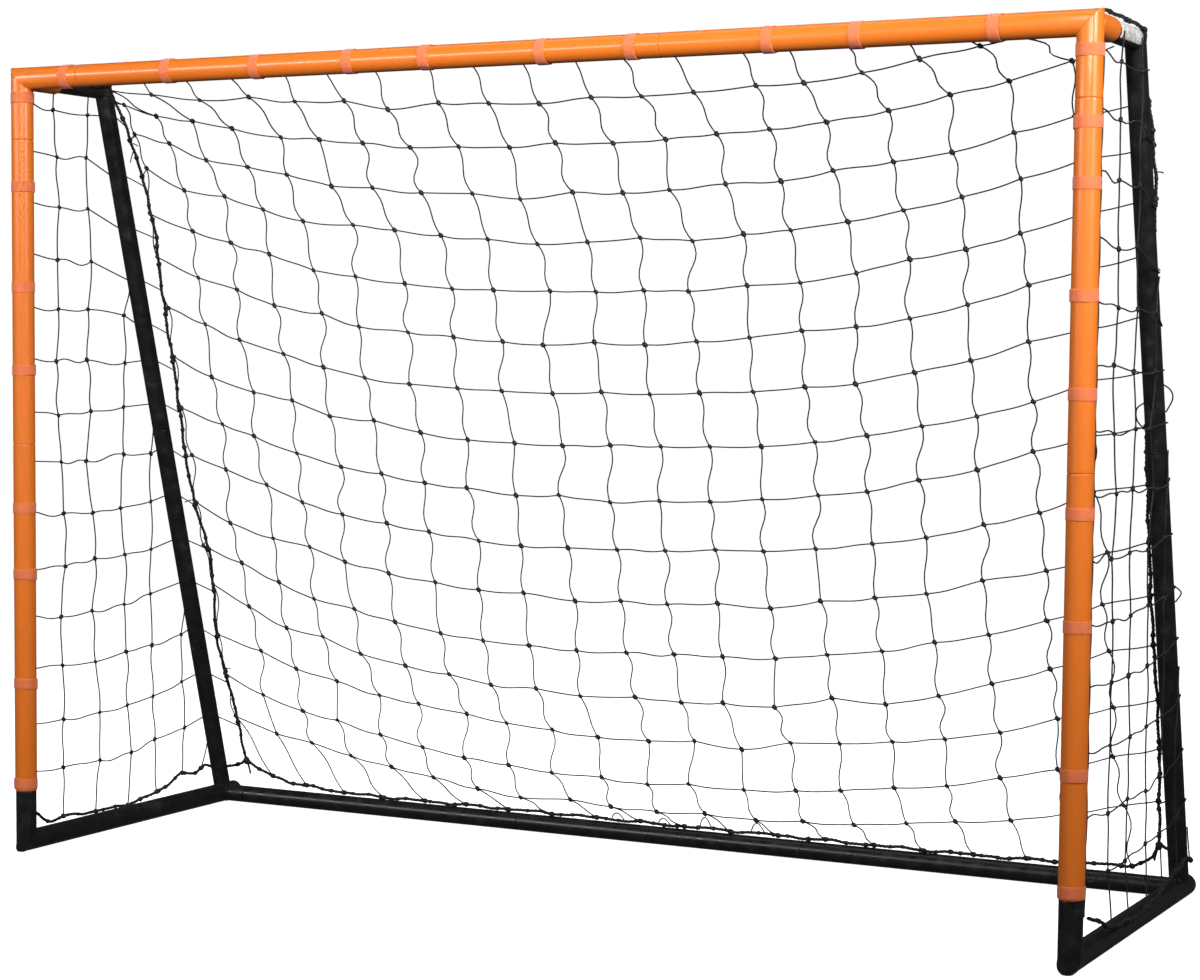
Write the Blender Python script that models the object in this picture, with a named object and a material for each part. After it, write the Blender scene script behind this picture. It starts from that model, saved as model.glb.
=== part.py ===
"""Portable soccer goal: a push-together steel tube frame with a strapped net.

World frame: X runs along the crossbar, Y from the goal mouth to the back, Z up.
The origin lies on the ground under the middle of the whole object.
"""

import math

import bmesh
import bpy
from mathutils import Matrix, Vector

# ---- Driving dimensions, in metres ----
HEIGHT = 1.500  # ground to the top of the crossbar
POST_X = 1.030  # middle of the goal to a post's centre line
BASE_DEPTH = 0.675  # front post to the foot of the rear post, between centre lines
TOP_DEPTH = 0.255  # front post to the bend at the top of the rear post
TAIL_DEPTH = 0.715  # front post to the open rear end of a side tube

FRONT_RADIUS = 0.021  # orange posts, crossbar and top corners
SIDE_RADIUS = 0.020  # feet and side tubes on the ground
REAR_RADIUS = 0.0175  # rear posts and rear bar
WALL = 0.0012
CLEARANCE = 0.0003  # radial play between a spigot and its socket
SEAM_GAP = 0.0004
SPIGOT_LENGTH = 0.085
SHOULDER = 0.002  # length of the taper where a tube is reduced to its spigot

TOP_SEAM_Z = 1.364  # lower end of the top corner's post leg
MIDDLE_SEAM_Z = 0.787
FOOT_SEAM_Z = 0.118  # upper end of the black foot
CORNER_SEAM_X = 0.890  # inner end of the top corner's crossbar leg
BAR_SEAM_X = 0.308  # joint beside the middle tube of the crossbar and rear bar
CORNER_STUB_DEPTH = 0.100
BASE_STUB_LENGTH = 0.060  # welded stubs for the rear post and the rear bar
REAR_SEAM_LENGTH = 0.700  # from the top bend down to the joint in the rear post

STRAP_WIDTH = 0.020
STRAP_THICKNESS = 0.0022
STRAPS_LEFT_POST = (1.443, 1.276, 1.086, 0.928, 0.664, 0.537, 0.326, 0.132)
STRAPS_RIGHT_POST = (1.438, 1.328, 1.234, 1.062, 0.910, 0.724, 0.548, 0.315, 0.130)
STRAPS_CROSSBAR = (-0.922, -0.689, -0.496, -0.299, -0.143, 0.085, 0.254, 0.500, 0.651, 0.880)

BUTTON_RADIUS = 0.004
BUTTON_HOLE_RADIUS = 0.0044
BUTTON_FLANGE_RADIUS = 0.0055
BUTTON_PROUD = 0.0032
BUTTON_FROM_POST_SEAM = 0.035
BUTTON_FROM_BAR_SEAM = 0.063
BUTTON_FROM_STUB_SEAM = 0.035
LEAF_WIDTH = 0.007
LEAF_THICKNESS = 0.0008
LEAF_LENGTH = 0.026

PLUG_THICKNESS = 0.003
PLUG_INSERT = 0.014

NET_THICKNESS = 0.002
NET_SIDE_X = 1.0575  # the side panels hang outside the posts
ROPE_RADIUS = 0.00325

SIDES = 16  # faces round a tube, with one face straight down
FLAT = math.cos(math.pi / SIDES)  # face distance over corner distance

# ---- Heights and depths that follow from them ----
CROSSBAR_Z = HEIGHT - FRONT_RADIUS * FLAT
BASE_Z = SIDE_RADIUS * FLAT
FRONT_REACH = (FRONT_RADIUS + CLEARANCE + STRAP_THICKNESS) * FLAT
REAR_REACH = TAIL_DEPTH + PLUG_THICKNESS
FRONT_Y = -(REAR_REACH - FRONT_REACH) / 2  # posts' centre line, so that the middle is at Y = 0


def place(x, depth, z):
    """A point in the world, with its depth measured back from the posts' centre line."""
    return Vector((x, FRONT_Y + depth, z))


def rear_post_depth(z):
    """Depth of the rear post's centre line at a height."""
    share = (z - BASE_Z) / (CROSSBAR_Z - BASE_Z)
    return BASE_DEPTH + (TOP_DEPTH - BASE_DEPTH) * share


# ---- Materials ----
def material(name, colour, roughness, metallic=0.0):
    made = bpy.data.materials.new(name)
    made.use_nodes = True
    shader = made.node_tree.nodes["Principled BSDF"]
    shader.inputs["Base Color"].default_value = (*colour, 1.0)
    shader.inputs["Roughness"].default_value = roughness
    shader.inputs["Metallic"].default_value = metallic
    return made


# ---- Mesh helpers ----
def new_object(name, bm, finish):
    """A scene object from a bmesh, smooth where its faces meet at shallow angles."""
    bmesh.ops.recalc_face_normals(bm, faces=bm.faces)
    mesh = bpy.data.meshes.new(name)
    bm.to_mesh(mesh)
    bm.free()
    mesh.shade_smooth()
    mesh.set_sharp_from_angle(angle=math.radians(30))
    mesh.materials.append(finish)
    made = bpy.data.objects.new(name, mesh)
    bpy.context.scene.collection.objects.link(made)
    return made


def first_side(direction):
    """A fixed direction across a tube, so that its faces line up with the axes."""
    across = Vector((1, 0, 0)) if abs(direction.x) < 0.7 else Vector((0, 1, 0))
    return (across - direction * across.dot(direction)).normalized()


def mitred_rings(stations, sides=SIDES):
    """Rings of points along a path of (point, radius), cut at half angle where it turns."""
    points = [point for point, _ in stations]
    heading = (points[1] - points[0]).normalized()
    across = first_side(heading)
    rings = []
    for index, (point, radius) in enumerate(stations):
        leaving = (
            (points[index + 1] - point).normalized() if index + 1 < len(points) else heading
        )
        cut = (heading + leaving).normalized()
        up = heading.cross(across)
        ring = []
        for step in range(sides):
            angle = (step + 0.5) * 2 * math.pi / sides
            offset = (across * math.cos(angle) + up * math.sin(angle)) * radius
            slide = -offset.dot(cut) / heading.dot(cut)
            ring.append(point + offset + heading * slide)
        rings.append(ring)
        turn = heading.rotation_difference(leaving)
        across = turn @ across
        heading = leaving
    return rings


def add_rings(bm, rings):
    return [[bm.verts.new(point) for point in ring] for ring in rings]


def bridge(bm, one, other):
    count = len(one)
    for step in range(count):
        after = (step + 1) % count
        bm.faces.new((one[step], one[after], other[after], other[step]))


def rod(name, stations, finish, sides=SIDES):
    """A solid rod along a path of (point, radius)."""
    bm = bmesh.new()
    rings = add_rings(bm, mitred_rings(stations, sides))
    for one, other in zip(rings, rings[1:]):
        bridge(bm, one, other)
    bm.faces.new(rings[0])
    bm.faces.new(rings[-1])
    return new_object(name, bm, finish)


def pipe(name, outer, inner, finish):
    """An open tube: an outer and an inner path of (point, radius) with shared ends."""
    bm = bmesh.new()
    outside = add_rings(bm, mitred_rings(outer))
    inside = add_rings(bm, mitred_rings(inner))
    for one, other in zip(outside, outside[1:]):
        bridge(bm, one, other)
    for one, other in zip(inside, inside[1:]):
        bridge(bm, one, other)
    bridge(bm, outside[0], inside[0])
    bridge(bm, outside[-1], inside[-1])
    return new_object(name, bm, finish)


def turned(name, profile, base, axis, finish, sides=SIDES):
    """A solid turned about an axis from a profile of (radius, height) above base.

    The profile starts and ends on the axis, or closes on itself to make a ring.
    """
    bm = bmesh.new()
    up = axis.normalized()
    across = first_side(up)
    along = up.cross(across)
    rings = []
    for radius, height in profile:
        if radius == 0:
            rings.append([bm.verts.new(base + up * height)])
            continue
        ring = []
        for step in range(sides):
            angle = (step + 0.5) * 2 * math.pi / sides
            offset = (across * math.cos(angle) + along * math.sin(angle)) * radius
            ring.append(bm.verts.new(base + up * height + offset))
        rings.append(ring)
    pairs = list(zip(rings, rings[1:]))
    if len(rings[0]) > 1:
        pairs.append((rings[-1], rings[0]))
    for one, other in pairs:
        if len(one) > 1 and len(other) > 1:
            bridge(bm, one, other)
            continue
        tip, ring = (one[0], other) if len(one) == 1 else (other[0], one)
        for step in range(sides):
            bm.faces.new((tip, ring[step], ring[(step + 1) % sides]))
    return new_object(name, bm, finish)


def sheet(name, grid, thickness, finish):
    """A thin closed sheet through a grid of points."""
    rows, columns = len(grid), len(grid[0])
    bm = bmesh.new()
    faces = []
    for row in range(rows):
        for column in range(columns):
            down = grid[min(row + 1, rows - 1)][column] - grid[max(row - 1, 0)][column]
            across = grid[row][min(column + 1, columns - 1)] - grid[row][max(column - 1, 0)]
            half = across.cross(down).normalized() * thickness / 2
            point = grid[row][column]
            faces.append((bm.verts.new(point + half), bm.verts.new(point - half)))
    layer = {
        (row, column): faces[row * columns + column]
        for row in range(rows)
        for column in range(columns)
    }
    for row in range(rows - 1):
        for column in range(columns - 1):
            square = (
                layer[row, column],
                layer[row, column + 1],
                layer[row + 1, column + 1],
                layer[row + 1, column],
            )
            for side in (0, 1):
                bm.faces.new([pair[side] for pair in square])
    border = [(0, column) for column in range(columns)]
    border += [(row, columns - 1) for row in range(1, rows)]
    border += [(rows - 1, column) for column in range(columns - 2, -1, -1)]
    border += [(row, 0) for row in range(rows - 2, 0, -1)]
    for one, other in zip(border, border[1:] + border[:1]):
        bm.faces.new((layer[one][0], layer[other][0], layer[other][1], layer[one][1]))
    return new_object(name, bm, finish)


def smooth_path(points, steps):
    """Points along a Catmull-Rom curve through hand-set ones."""
    padded = [points[0] * 2 - points[1], *points, points[-1] * 2 - points[-2]]
    path = []
    for before, start, end, after in zip(padded, padded[1:], padded[2:], padded[3:]):
        for step in range(steps):
            t = step / steps
            path.append(
                0.5
                * (
                    2 * start
                    + (end - before) * t
                    + (2 * before - 5 * start + 4 * end - after) * t**2
                    + (3 * start - before - 3 * end + after) * t**3
                )
            )
    path.append(points[-1])
    return path


def combine(target, other, operation):
    """Joins another solid to the target, or cuts it out, and keeps it as a hidden guide."""
    other.hide_render = True
    other.display_type = "WIRE"
    change = target.modifiers.new(other.name, "BOOLEAN")
    change.operation = operation
    change.solver = "EXACT"
    change.object = other


# ---- Tubes ----
def tube_stations(start, end, radius, spigot_at_start, spigot_at_end):
    """Outer path of a tube between two seams, with a reduced spigot past either seam."""
    along = (end - start).normalized()
    spigot = radius - WALL - CLEARANCE
    outer = []
    if spigot_at_start:
        outer.append((start - along * SPIGOT_LENGTH, spigot))
        outer.append((start + along * SEAM_GAP, spigot))
        outer.append((start + along * SHOULDER, radius))
    else:
        outer.append((start + along * SEAM_GAP, radius))
    if spigot_at_end:
        outer.append((end - along * SHOULDER, radius))
        outer.append((end - along * SEAM_GAP, spigot))
        outer.append((end + along * SPIGOT_LENGTH, spigot))
    else:
        outer.append((end - along * SEAM_GAP, radius))
    return outer


def bore_of(outer):
    return [(point, radius - WALL) for point, radius in outer]


def tube(name, start, end, radius, finish, spigot_at_start=False, spigot_at_end=False):
    outer = tube_stations(start, end, radius, spigot_at_start, spigot_at_end)
    return pipe(name, outer, bore_of(outer), finish)


def extended(stations, reach):
    """The same path with both ends pushed out, for a cutter that opens a tube's ends."""
    first, last = stations[0], stations[-1]
    start = (stations[1][0] - first[0]).normalized()
    end = (last[0] - stations[-2][0]).normalized()
    longer = [(first[0] - start * reach, first[1])]
    longer += stations[1:-1]
    longer.append((last[0] + end * reach, last[1]))
    return longer


# ---- Snap buttons ----
def drill(target, centre, outward, finish):
    """A button hole through one wall of a tube."""
    inner = centre + outward * REAR_RADIUS / 2
    outer = centre + outward * FRONT_RADIUS * 1.5
    hole = rod(
        "hole_" + target.name + str(len(target.modifiers)),
        [(inner, BUTTON_HOLE_RADIUS), (outer, BUTTON_HOLE_RADIUS)],
        finish,
        sides=12,
    )
    combine(target, hole, "DIFFERENCE")


def snap_button(name, centre, outward, tube_radius, tube_axis, finish):
    """A domed pin on a flange and a leaf spring, in the joint of two tubes."""
    bore = tube_radius - 2 * WALL - CLEARANCE
    flange_top = math.sqrt(bore**2 - BUTTON_FLANGE_RADIUS**2) * FLAT - 2 * CLEARANCE
    flange_bottom = flange_top - 1.5 * LEAF_THICKNESS
    tip = tube_radius + BUTTON_PROUD
    shoulder = tip - BUTTON_RADIUS * 0.7
    profile = [
        (0, flange_bottom),
        (BUTTON_FLANGE_RADIUS, flange_bottom),
        (BUTTON_FLANGE_RADIUS, flange_top),
        (BUTTON_RADIUS, flange_top),
        (BUTTON_RADIUS, shoulder),
        (BUTTON_RADIUS * 0.86, shoulder + BUTTON_RADIUS * 0.45),
        (BUTTON_RADIUS * 0.45, tip - BUTTON_RADIUS * 0.06),
        (0, tip),
    ]
    button = turned(name, profile, centre, outward, finish, sides=12)
    side = outward.cross(tube_axis).normalized()
    top = flange_bottom + LEAF_THICKNESS / 2
    dip = top - LEAF_LENGTH / 4
    bm = bmesh.new()
    lines = []
    for along, height in ((-0.004, top), (0.005, top), (LEAF_LENGTH, dip)):
        corner = centre + tube_axis * along + outward * height
        thin = outward * LEAF_THICKNESS / 2
        wide = side * LEAF_WIDTH / 2
        signs = ((-1, -1), (1, -1), (1, 1), (-1, 1))
        lines.append([bm.verts.new(corner + wide * a + thin * b) for a, b in signs])
    for one, other in zip(lines, lines[1:]):
        bridge(bm, one, other)
    bm.faces.new(lines[0])
    bm.faces.new(lines[-1])
    combine(button, new_object("leaf_" + name, bm, finish), "UNION")
    # The button slides along its own axis, so its origin sits on that axis.
    shift = Matrix.Translation(-centre)
    for part in (button, button.modifiers[0].object):
        part.data.transform(shift)
        part.location = centre
    return button


# ---- Frame ----
def top_corner(side, name, finish):
    """Orange corner: a mitred elbow for post and crossbar, with a stub to the back."""
    bottom = place(side * POST_X, 0, TOP_SEAM_Z + SEAM_GAP)
    corner = place(side * POST_X, 0, CROSSBAR_Z)
    inner_end = place(side * (CORNER_SEAM_X + SEAM_GAP), 0, CROSSBAR_Z)
    elbow = [(bottom, FRONT_RADIUS), (corner, FRONT_RADIUS), (inner_end, FRONT_RADIUS)]
    part = rod(name, elbow, finish)
    stub_end = place(side * POST_X, CORNER_STUB_DEPTH, CROSSBAR_Z)
    combine(
        part,
        rod("stub_" + name, [(corner, FRONT_RADIUS * 0.98), (stub_end, FRONT_RADIUS * 0.98)], finish),
        "UNION",
    )
    combine(part, rod("bore_" + name, extended(bore_of(elbow), SHOULDER), finish), "DIFFERENCE")
    socket = REAR_RADIUS + CLEARANCE
    past_stub = stub_end + Vector((0, SHOULDER, 0))
    combine(
        part,
        rod("socket_" + name, [(corner, socket), (past_stub, socket)], finish),
        "DIFFERENCE",
    )
    return part


def side_base(side, name, finish):
    """Black foot and side tube, mitred and welded, with stubs for the rear post and bar."""
    spigot = FRONT_RADIUS - WALL - CLEARANCE
    top = place(side * POST_X, 0, FOOT_SEAM_Z + SPIGOT_LENGTH)
    seam = place(side * POST_X, 0, FOOT_SEAM_Z - SEAM_GAP)
    shoulder = place(side * POST_X, 0, FOOT_SEAM_Z - SHOULDER)
    corner = place(side * POST_X, 0, BASE_Z)
    tail = place(side * POST_X, TAIL_DEPTH, BASE_Z)
    outer = [
        (top, spigot),
        (seam, spigot),
        (shoulder, SIDE_RADIUS),
        (corner, SIDE_RADIUS),
        (tail, SIDE_RADIUS),
    ]
    part = rod(name, outer, finish)
    foot = place(side * POST_X, BASE_DEPTH, BASE_Z)
    bend = place(side * POST_X, TOP_DEPTH, CROSSBAR_Z)
    reduced = REAR_RADIUS - WALL - CLEARANCE
    for label, along in (("post", (bend - foot).normalized()), ("bar", Vector((-side, 0, 0)))):
        stations = [
            (foot, REAR_RADIUS),
            (foot + along * (BASE_STUB_LENGTH - SHOULDER), REAR_RADIUS),
            (foot + along * (BASE_STUB_LENGTH - SEAM_GAP), reduced),
            (foot + along * (BASE_STUB_LENGTH + SPIGOT_LENGTH), reduced),
        ]
        combine(part, rod(f"{label}_stub_{name}", stations, finish), "UNION")
        far = foot + along * (BASE_STUB_LENGTH + SPIGOT_LENGTH + SHOULDER)
        bore = rod(f"{label}_bore_{name}", [(foot, reduced - WALL), (far, reduced - WALL)], finish)
        combine(part, bore, "DIFFERENCE")
    inner = [(point, radius - WALL) for point, radius in outer]
    combine(part, rod("bore_" + name, extended(inner, SHOULDER), finish), "DIFFERENCE")
    return part


def rear_post_line(side):
    """The foot, the bend and the direction from the foot up to the bend."""
    foot = place(side * POST_X, BASE_DEPTH, BASE_Z)
    bend = place(side * POST_X, TOP_DEPTH, CROSSBAR_Z)
    return foot, bend, (bend - foot).normalized()


def rear_post_upper(side, name, finish):
    """Black tube from inside the corner stub, mitred at the bend, down to the joint."""
    _, bend, up = rear_post_line(side)
    front = place(side * POST_X, CORNER_STUB_DEPTH - 0.065, CROSSBAR_Z)
    low = bend - up * (REAR_SEAM_LENGTH - SEAM_GAP)
    outer = [(front, REAR_RADIUS), (bend, REAR_RADIUS), (low, REAR_RADIUS)]
    return pipe(name, outer, bore_of(outer), finish)


def rear_post_lower(side, name, finish):
    foot, bend, up = rear_post_line(side)
    start = foot + up * BASE_STUB_LENGTH
    end = bend - up * REAR_SEAM_LENGTH
    return tube(name, start, end, REAR_RADIUS, finish, spigot_at_end=True)


def base_plug(side, name, finish):
    """Plastic plug in the open rear end of a side tube."""
    insert = SIDE_RADIUS - WALL - CLEARANCE
    start = place(side * POST_X, TAIL_DEPTH, BASE_Z)
    profile = [
        (0, -PLUG_INSERT),
        (insert, -PLUG_INSERT),
        (insert, CLEARANCE),
        (SIDE_RADIUS, CLEARANCE),
        (SIDE_RADIUS, PLUG_THICKNESS * 0.4),
        (SIDE_RADIUS * 0.88, PLUG_THICKNESS * 0.85),
        (0, PLUG_THICKNESS),
    ]
    return turned(name, profile, start, Vector((0, 1, 0)), finish)


def strap(name, centre, axis, finish):
    """A band of hook-and-loop webbing round a post or the crossbar."""
    inner = FRONT_RADIUS + CLEARANCE
    outer = inner + STRAP_THICKNESS
    half = STRAP_WIDTH / 2
    profile = [(inner, -half), (outer, -half), (outer, half), (inner, half)]
    return turned(name, profile, centre, axis, finish)


# ---- Net ----
# The back panel hangs slack in the middle of the goal and is held out at its corner ropes.
# Its rows are (height, depth in the middle, depth at the sides).
BACK_ROWS = (
    (1.450, 0.030, 0.034),
    (1.438, 0.040, 0.262),
    (1.170, 0.228, 0.370),
    (0.660, 0.345, 0.510),
    (0.250, 0.488, 0.600),
    (0.048, 0.645, 0.655),
)
BACK_HALF_WIDTH = 0.965
BACK_FOLD_X = 0.660  # flat in the middle, and slanting out to the side from here


def back_panel(finish):
    grid = []
    for z, middle, edge in BACK_ROWS:
        line = []
        for x, depth in (
            (-BACK_HALF_WIDTH, edge),
            (-BACK_FOLD_X, middle),
            (BACK_FOLD_X, middle),
            (BACK_HALF_WIDTH, edge),
        ):
            line.append(place(x, depth, z))
        grid.append(line)
    return sheet("net_back_panel", grid, NET_THICKNESS, finish)


SIDE_FRONT_DEPTH = 0.034
SIDE_HEIGHTS = (0.105, 0.300, 0.600, 0.900, 1.200, 1.400)
WRAP = ((0.020, 0.0250), (0.004, 0.0275), (-0.012, 0.0275))  # out from the post, behind it


def side_panel(side, name, finish):
    """A flat panel outside the posts that turns in behind the rear post."""
    grid = []
    for z in SIDE_HEIGHTS:
        rear = rear_post_depth(z)
        span = rear - SIDE_FRONT_DEPTH
        line = [
            place(side * NET_SIDE_X, SIDE_FRONT_DEPTH + span * step / 2, z) for step in range(3)
        ]
        line += [place(side * (POST_X + out), rear + behind, z) for out, behind in WRAP]
        grid.append(line)
    return sheet(name, grid, NET_THICKNESS, finish)


# Routes of the border rope: (distance from the middle, depth, height).
BOTTOM_ROPE_LEFT = (
    (1.0545, 0.012, 0.085),
    (1.0545, 0.060, 0.062),
    (1.0545, 0.100, 0.040),
    (1.0545, 0.150, 0.042),
    (1.0545, 0.260, 0.037),
    (1.0545, 0.370, 0.036),
    (1.0545, 0.430, 0.042),
    (1.0545, 0.500, 0.055),
    (1.0545, 0.550, 0.072),
    (1.0545, 0.600, 0.069),
)
BOTTOM_ROPE_RIGHT = (
    (1.0545, 0.012, 0.088),
    (1.0545, 0.060, 0.077),
    (1.0545, 0.100, 0.061),
    (1.0545, 0.150, 0.050),
    (1.0545, 0.260, 0.040),
    (1.0545, 0.365, 0.043),
    (1.0545, 0.470, 0.058),
    (1.0545, 0.550, 0.073),
    (1.0545, 0.600, 0.081),
)
ROPE_ROUND_POST = (
    (1.0540, 0.642, 0.080),
    (1.0515, 0.668, 0.073),
    (1.0400, 0.690, 0.071),
    (1.0200, 0.700, 0.074),
    (1.0020, 0.702, 0.082),
)
CORNER_KNOT = (0.986, 0.698, 0.088)
REAR_ROPE_LEFT = (
    (0.945, 0.697, 0.069),
    (0.886, 0.687, 0.056),
    (0.830, 0.680, 0.050),
)
REAR_ROPE_RIGHT = (
    (0.976, 0.701, 0.067),
    (0.953, 0.696, 0.055),
    (0.925, 0.689, 0.047),
    (0.860, 0.680, 0.047),
)
REAR_ROPE = (
    (0.700, 0.676, 0.043),
    (0.450, 0.672, 0.043),
    (0.200, 0.676, 0.043),
    (0.000, 0.672, 0.043),
)
# The corner ropes climb behind the rear posts: (inside the post, behind it, height).
LEFT_ROPE_CLIMB = (
    (0.042, 0.032, 0.240),
    (0.030, 0.030, 0.360),
    (0.046, 0.032, 0.530),
    (0.027, 0.032, 0.690),
    (0.034, 0.032, 0.900),
    (0.036, 0.034, 1.080),
    (0.043, 0.034, 1.225),
    (0.024, 0.036, 1.370),
    (0.006, 0.034, 1.440),
)
RIGHT_ROPE_CLIMB = (
    (0.033, 0.032, 0.240),
    (0.030, 0.030, 0.360),
    (0.032, 0.032, 0.530),
    (0.029, 0.032, 0.690),
    (0.024, 0.033, 0.850),
    (0.012, 0.034, 1.000),
    (0.000, 0.035, 1.120),
    (-0.012, 0.035, 1.260),
    (-0.008, 0.036, 1.370),
    (0.000, 0.034, 1.440),
)
CORNER_ROPE_TOP = (
    (1.037, 0.282, 1.4900),
    (1.040, 0.255, 1.5005),
    (1.040, 0.180, 1.5005),
    (1.038, 0.110, 1.5050),
    (1.036, 0.060, 1.5050),
)
ROPE_STEPS = 2
ROPE_SIDES = 6
KNOT_RADIUS = 0.0075


def rope_point(side, route_point):
    x, depth, z = route_point
    return place(side * x, depth, z)


def rope(name, points, finish):
    stations = [(point, ROPE_RADIUS) for point in smooth_path(points, ROPE_STEPS)]
    return rod(name, stations, finish, sides=ROPE_SIDES)


def border_rope(finish):
    """One rope round the bottom of the net, with a corner rope knotted on at each side."""
    turn = (*ROPE_ROUND_POST, CORNER_KNOT)
    right_half = (*BOTTOM_ROPE_RIGHT, *turn, *REAR_ROPE_RIGHT, *REAR_ROPE)
    left_half = (*BOTTOM_ROPE_LEFT, *turn, *REAR_ROPE_LEFT, *REAR_ROPE[:-1])
    right = [rope_point(1, point) for point in right_half]
    left = [rope_point(-1, point) for point in left_half]
    part = rope("net_border_rope", left + right[::-1], finish)
    for side, label, offsets in ((-1, "left", LEFT_ROPE_CLIMB), (1, "right", RIGHT_ROPE_CLIMB)):
        climb = [
            (POST_X - inside, rear_post_depth(z) + behind, z) for inside, behind, z in offsets
        ]
        route = (CORNER_KNOT, *climb, *CORNER_ROPE_TOP)
        points = [rope_point(side, point) for point in route]
        combine(part, rope("corner_rope_" + label, points, finish), "UNION")
        knot = turned(
            "corner_knot_" + label,
            [
                (0, -KNOT_RADIUS),
                (KNOT_RADIUS * 0.8, -KNOT_RADIUS * 0.6),
                (KNOT_RADIUS, 0),
                (KNOT_RADIUS * 0.8, KNOT_RADIUS * 0.6),
                (0, KNOT_RADIUS),
            ],
            rope_point(side, CORNER_KNOT),
            Vector((0, 0, 1)),
            finish,
            sides=10,
        )
        combine(part, knot, "UNION")
    return part


# ---- Assembly ----
def build_posts(side, label, corner, orange, zinc):
    back = Vector((0, 1, 0))
    up = Vector((0, 0, 1))
    upper = tube(
        "post_upper_" + label,
        place(side * POST_X, 0, MIDDLE_SEAM_Z),
        place(side * POST_X, 0, TOP_SEAM_Z),
        FRONT_RADIUS,
        orange,
        spigot_at_end=True,
    )
    tube(
        "post_lower_" + label,
        place(side * POST_X, 0, FOOT_SEAM_Z),
        place(side * POST_X, 0, MIDDLE_SEAM_Z),
        FRONT_RADIUS,
        orange,
        spigot_at_end=True,
    )
    centre = place(side * POST_X, 0, TOP_SEAM_Z + BUTTON_FROM_POST_SEAM)
    drill(corner, centre, back, zinc)
    drill(upper, centre, back, zinc)
    snap_button("snap_button_post_" + label, centre, back, FRONT_RADIUS, -up, zinc)


def build_crossbar(corners, orange, zinc):
    back = Vector((0, 1, 0))
    for side, label in ((-1, "left"), (1, "right")):
        inner = place(side * BAR_SEAM_X, 0, CROSSBAR_Z)
        outer = place(side * CORNER_SEAM_X, 0, CROSSBAR_Z)
        piece = tube(
            "crossbar_" + label, inner, outer, FRONT_RADIUS, orange, spigot_at_end=True
        )
        centre = place(side * (CORNER_SEAM_X + BUTTON_FROM_BAR_SEAM), 0, CROSSBAR_Z)
        drill(corners[side], centre, back, zinc)
        drill(piece, centre, back, zinc)
        inward = Vector((-side, 0, 0))
        snap_button("snap_button_crossbar_" + label, centre, back, FRONT_RADIUS, inward, zinc)
    tube(
        "crossbar_middle",
        place(-BAR_SEAM_X, 0, CROSSBAR_Z),
        place(BAR_SEAM_X, 0, CROSSBAR_Z),
        FRONT_RADIUS,
        orange,
        spigot_at_start=True,
        spigot_at_end=True,
    )


def build_rear(bases, black, zinc):
    back = Vector((0, 1, 0))
    button_reach = BASE_STUB_LENGTH + BUTTON_FROM_STUB_SEAM
    for side, label in ((-1, "left"), (1, "right")):
        foot, _, up = rear_post_line(side)
        rear_post_upper(side, "rear_post_upper_" + label, black)
        lower = rear_post_lower(side, "rear_post_lower_" + label, black)
        behind = Vector((1, 0, 0)).cross(up).normalized()
        behind = behind if behind.y > 0 else -behind
        centre = foot + up * button_reach
        drill(bases[side], centre, behind, zinc)
        drill(lower, centre, behind, zinc)
        snap_button("snap_button_rear_post_" + label, centre, behind, REAR_RADIUS, up, zinc)

        inward = Vector((-side, 0, 0))
        start = foot + inward * BASE_STUB_LENGTH
        end = place(side * BAR_SEAM_X, BASE_DEPTH, BASE_Z)
        piece = tube("rear_bar_" + label, start, end, REAR_RADIUS, black)
        centre = foot + inward * button_reach
        drill(bases[side], centre, back, zinc)
        drill(piece, centre, back, zinc)
        snap_button("snap_button_rear_bar_" + label, centre, back, REAR_RADIUS, inward, zinc)
    tube(
        "rear_bar_middle",
        place(-BAR_SEAM_X, BASE_DEPTH, BASE_Z),
        place(BAR_SEAM_X, BASE_DEPTH, BASE_Z),
        REAR_RADIUS,
        black,
        spigot_at_start=True,
        spigot_at_end=True,
    )


def build_straps(finish):
    up = Vector((0, 0, 1))
    for side, label, heights in (
        (-1, "left", STRAPS_LEFT_POST),
        (1, "right", STRAPS_RIGHT_POST),
    ):
        for number, z in enumerate(heights, 1):
            strap(f"strap_{label}_post_{number}", place(side * POST_X, 0, z), up, finish)
    for number, x in enumerate(STRAPS_CROSSBAR, 1):
        strap(f"strap_crossbar_{number}", place(x, 0, CROSSBAR_Z), Vector((1, 0, 0)), finish)


def main():
    for old in list(bpy.data.objects):
        bpy.data.objects.remove(old, do_unlink=True)
    orange = material("orange_paint", (0.90, 0.25, 0.03), 0.30)
    black = material("black_paint", (0.018, 0.017, 0.017), 0.45)
    zinc = material("zinc_steel", (0.55, 0.55, 0.56), 0.35, 1.0)
    plastic = material("black_plastic", (0.02, 0.02, 0.02), 0.5)
    webbing = material("orange_webbing", (0.90, 0.30, 0.14), 0.85)
    twine = material("black_twine", (0.015, 0.015, 0.015), 0.9)

    corners, bases = {}, {}
    for side, label in ((-1, "left"), (1, "right")):
        corners[side] = top_corner(side, "top_corner_" + label, orange)
        bases[side] = side_base(side, "side_base_" + label, black)
        base_plug(side, "base_plug_" + label, plastic)
        build_posts(side, label, corners[side], orange, zinc)
        side_panel(side, "net_side_panel_" + label, twine)
    build_crossbar(corners, orange, zinc)
    build_rear(bases, black, zinc)
    build_straps(webbing)
    back_panel(twine)
    border_rope(twine)


main()
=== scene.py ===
"""The look of the portable soccer goal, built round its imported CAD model.

Lengths are in metres. X runs along the crossbar, Y from the mouth to the back, Z up.
"""

import math

import bmesh
import bpy
import numpy as np
from mathutils import Matrix, Vector

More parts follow.
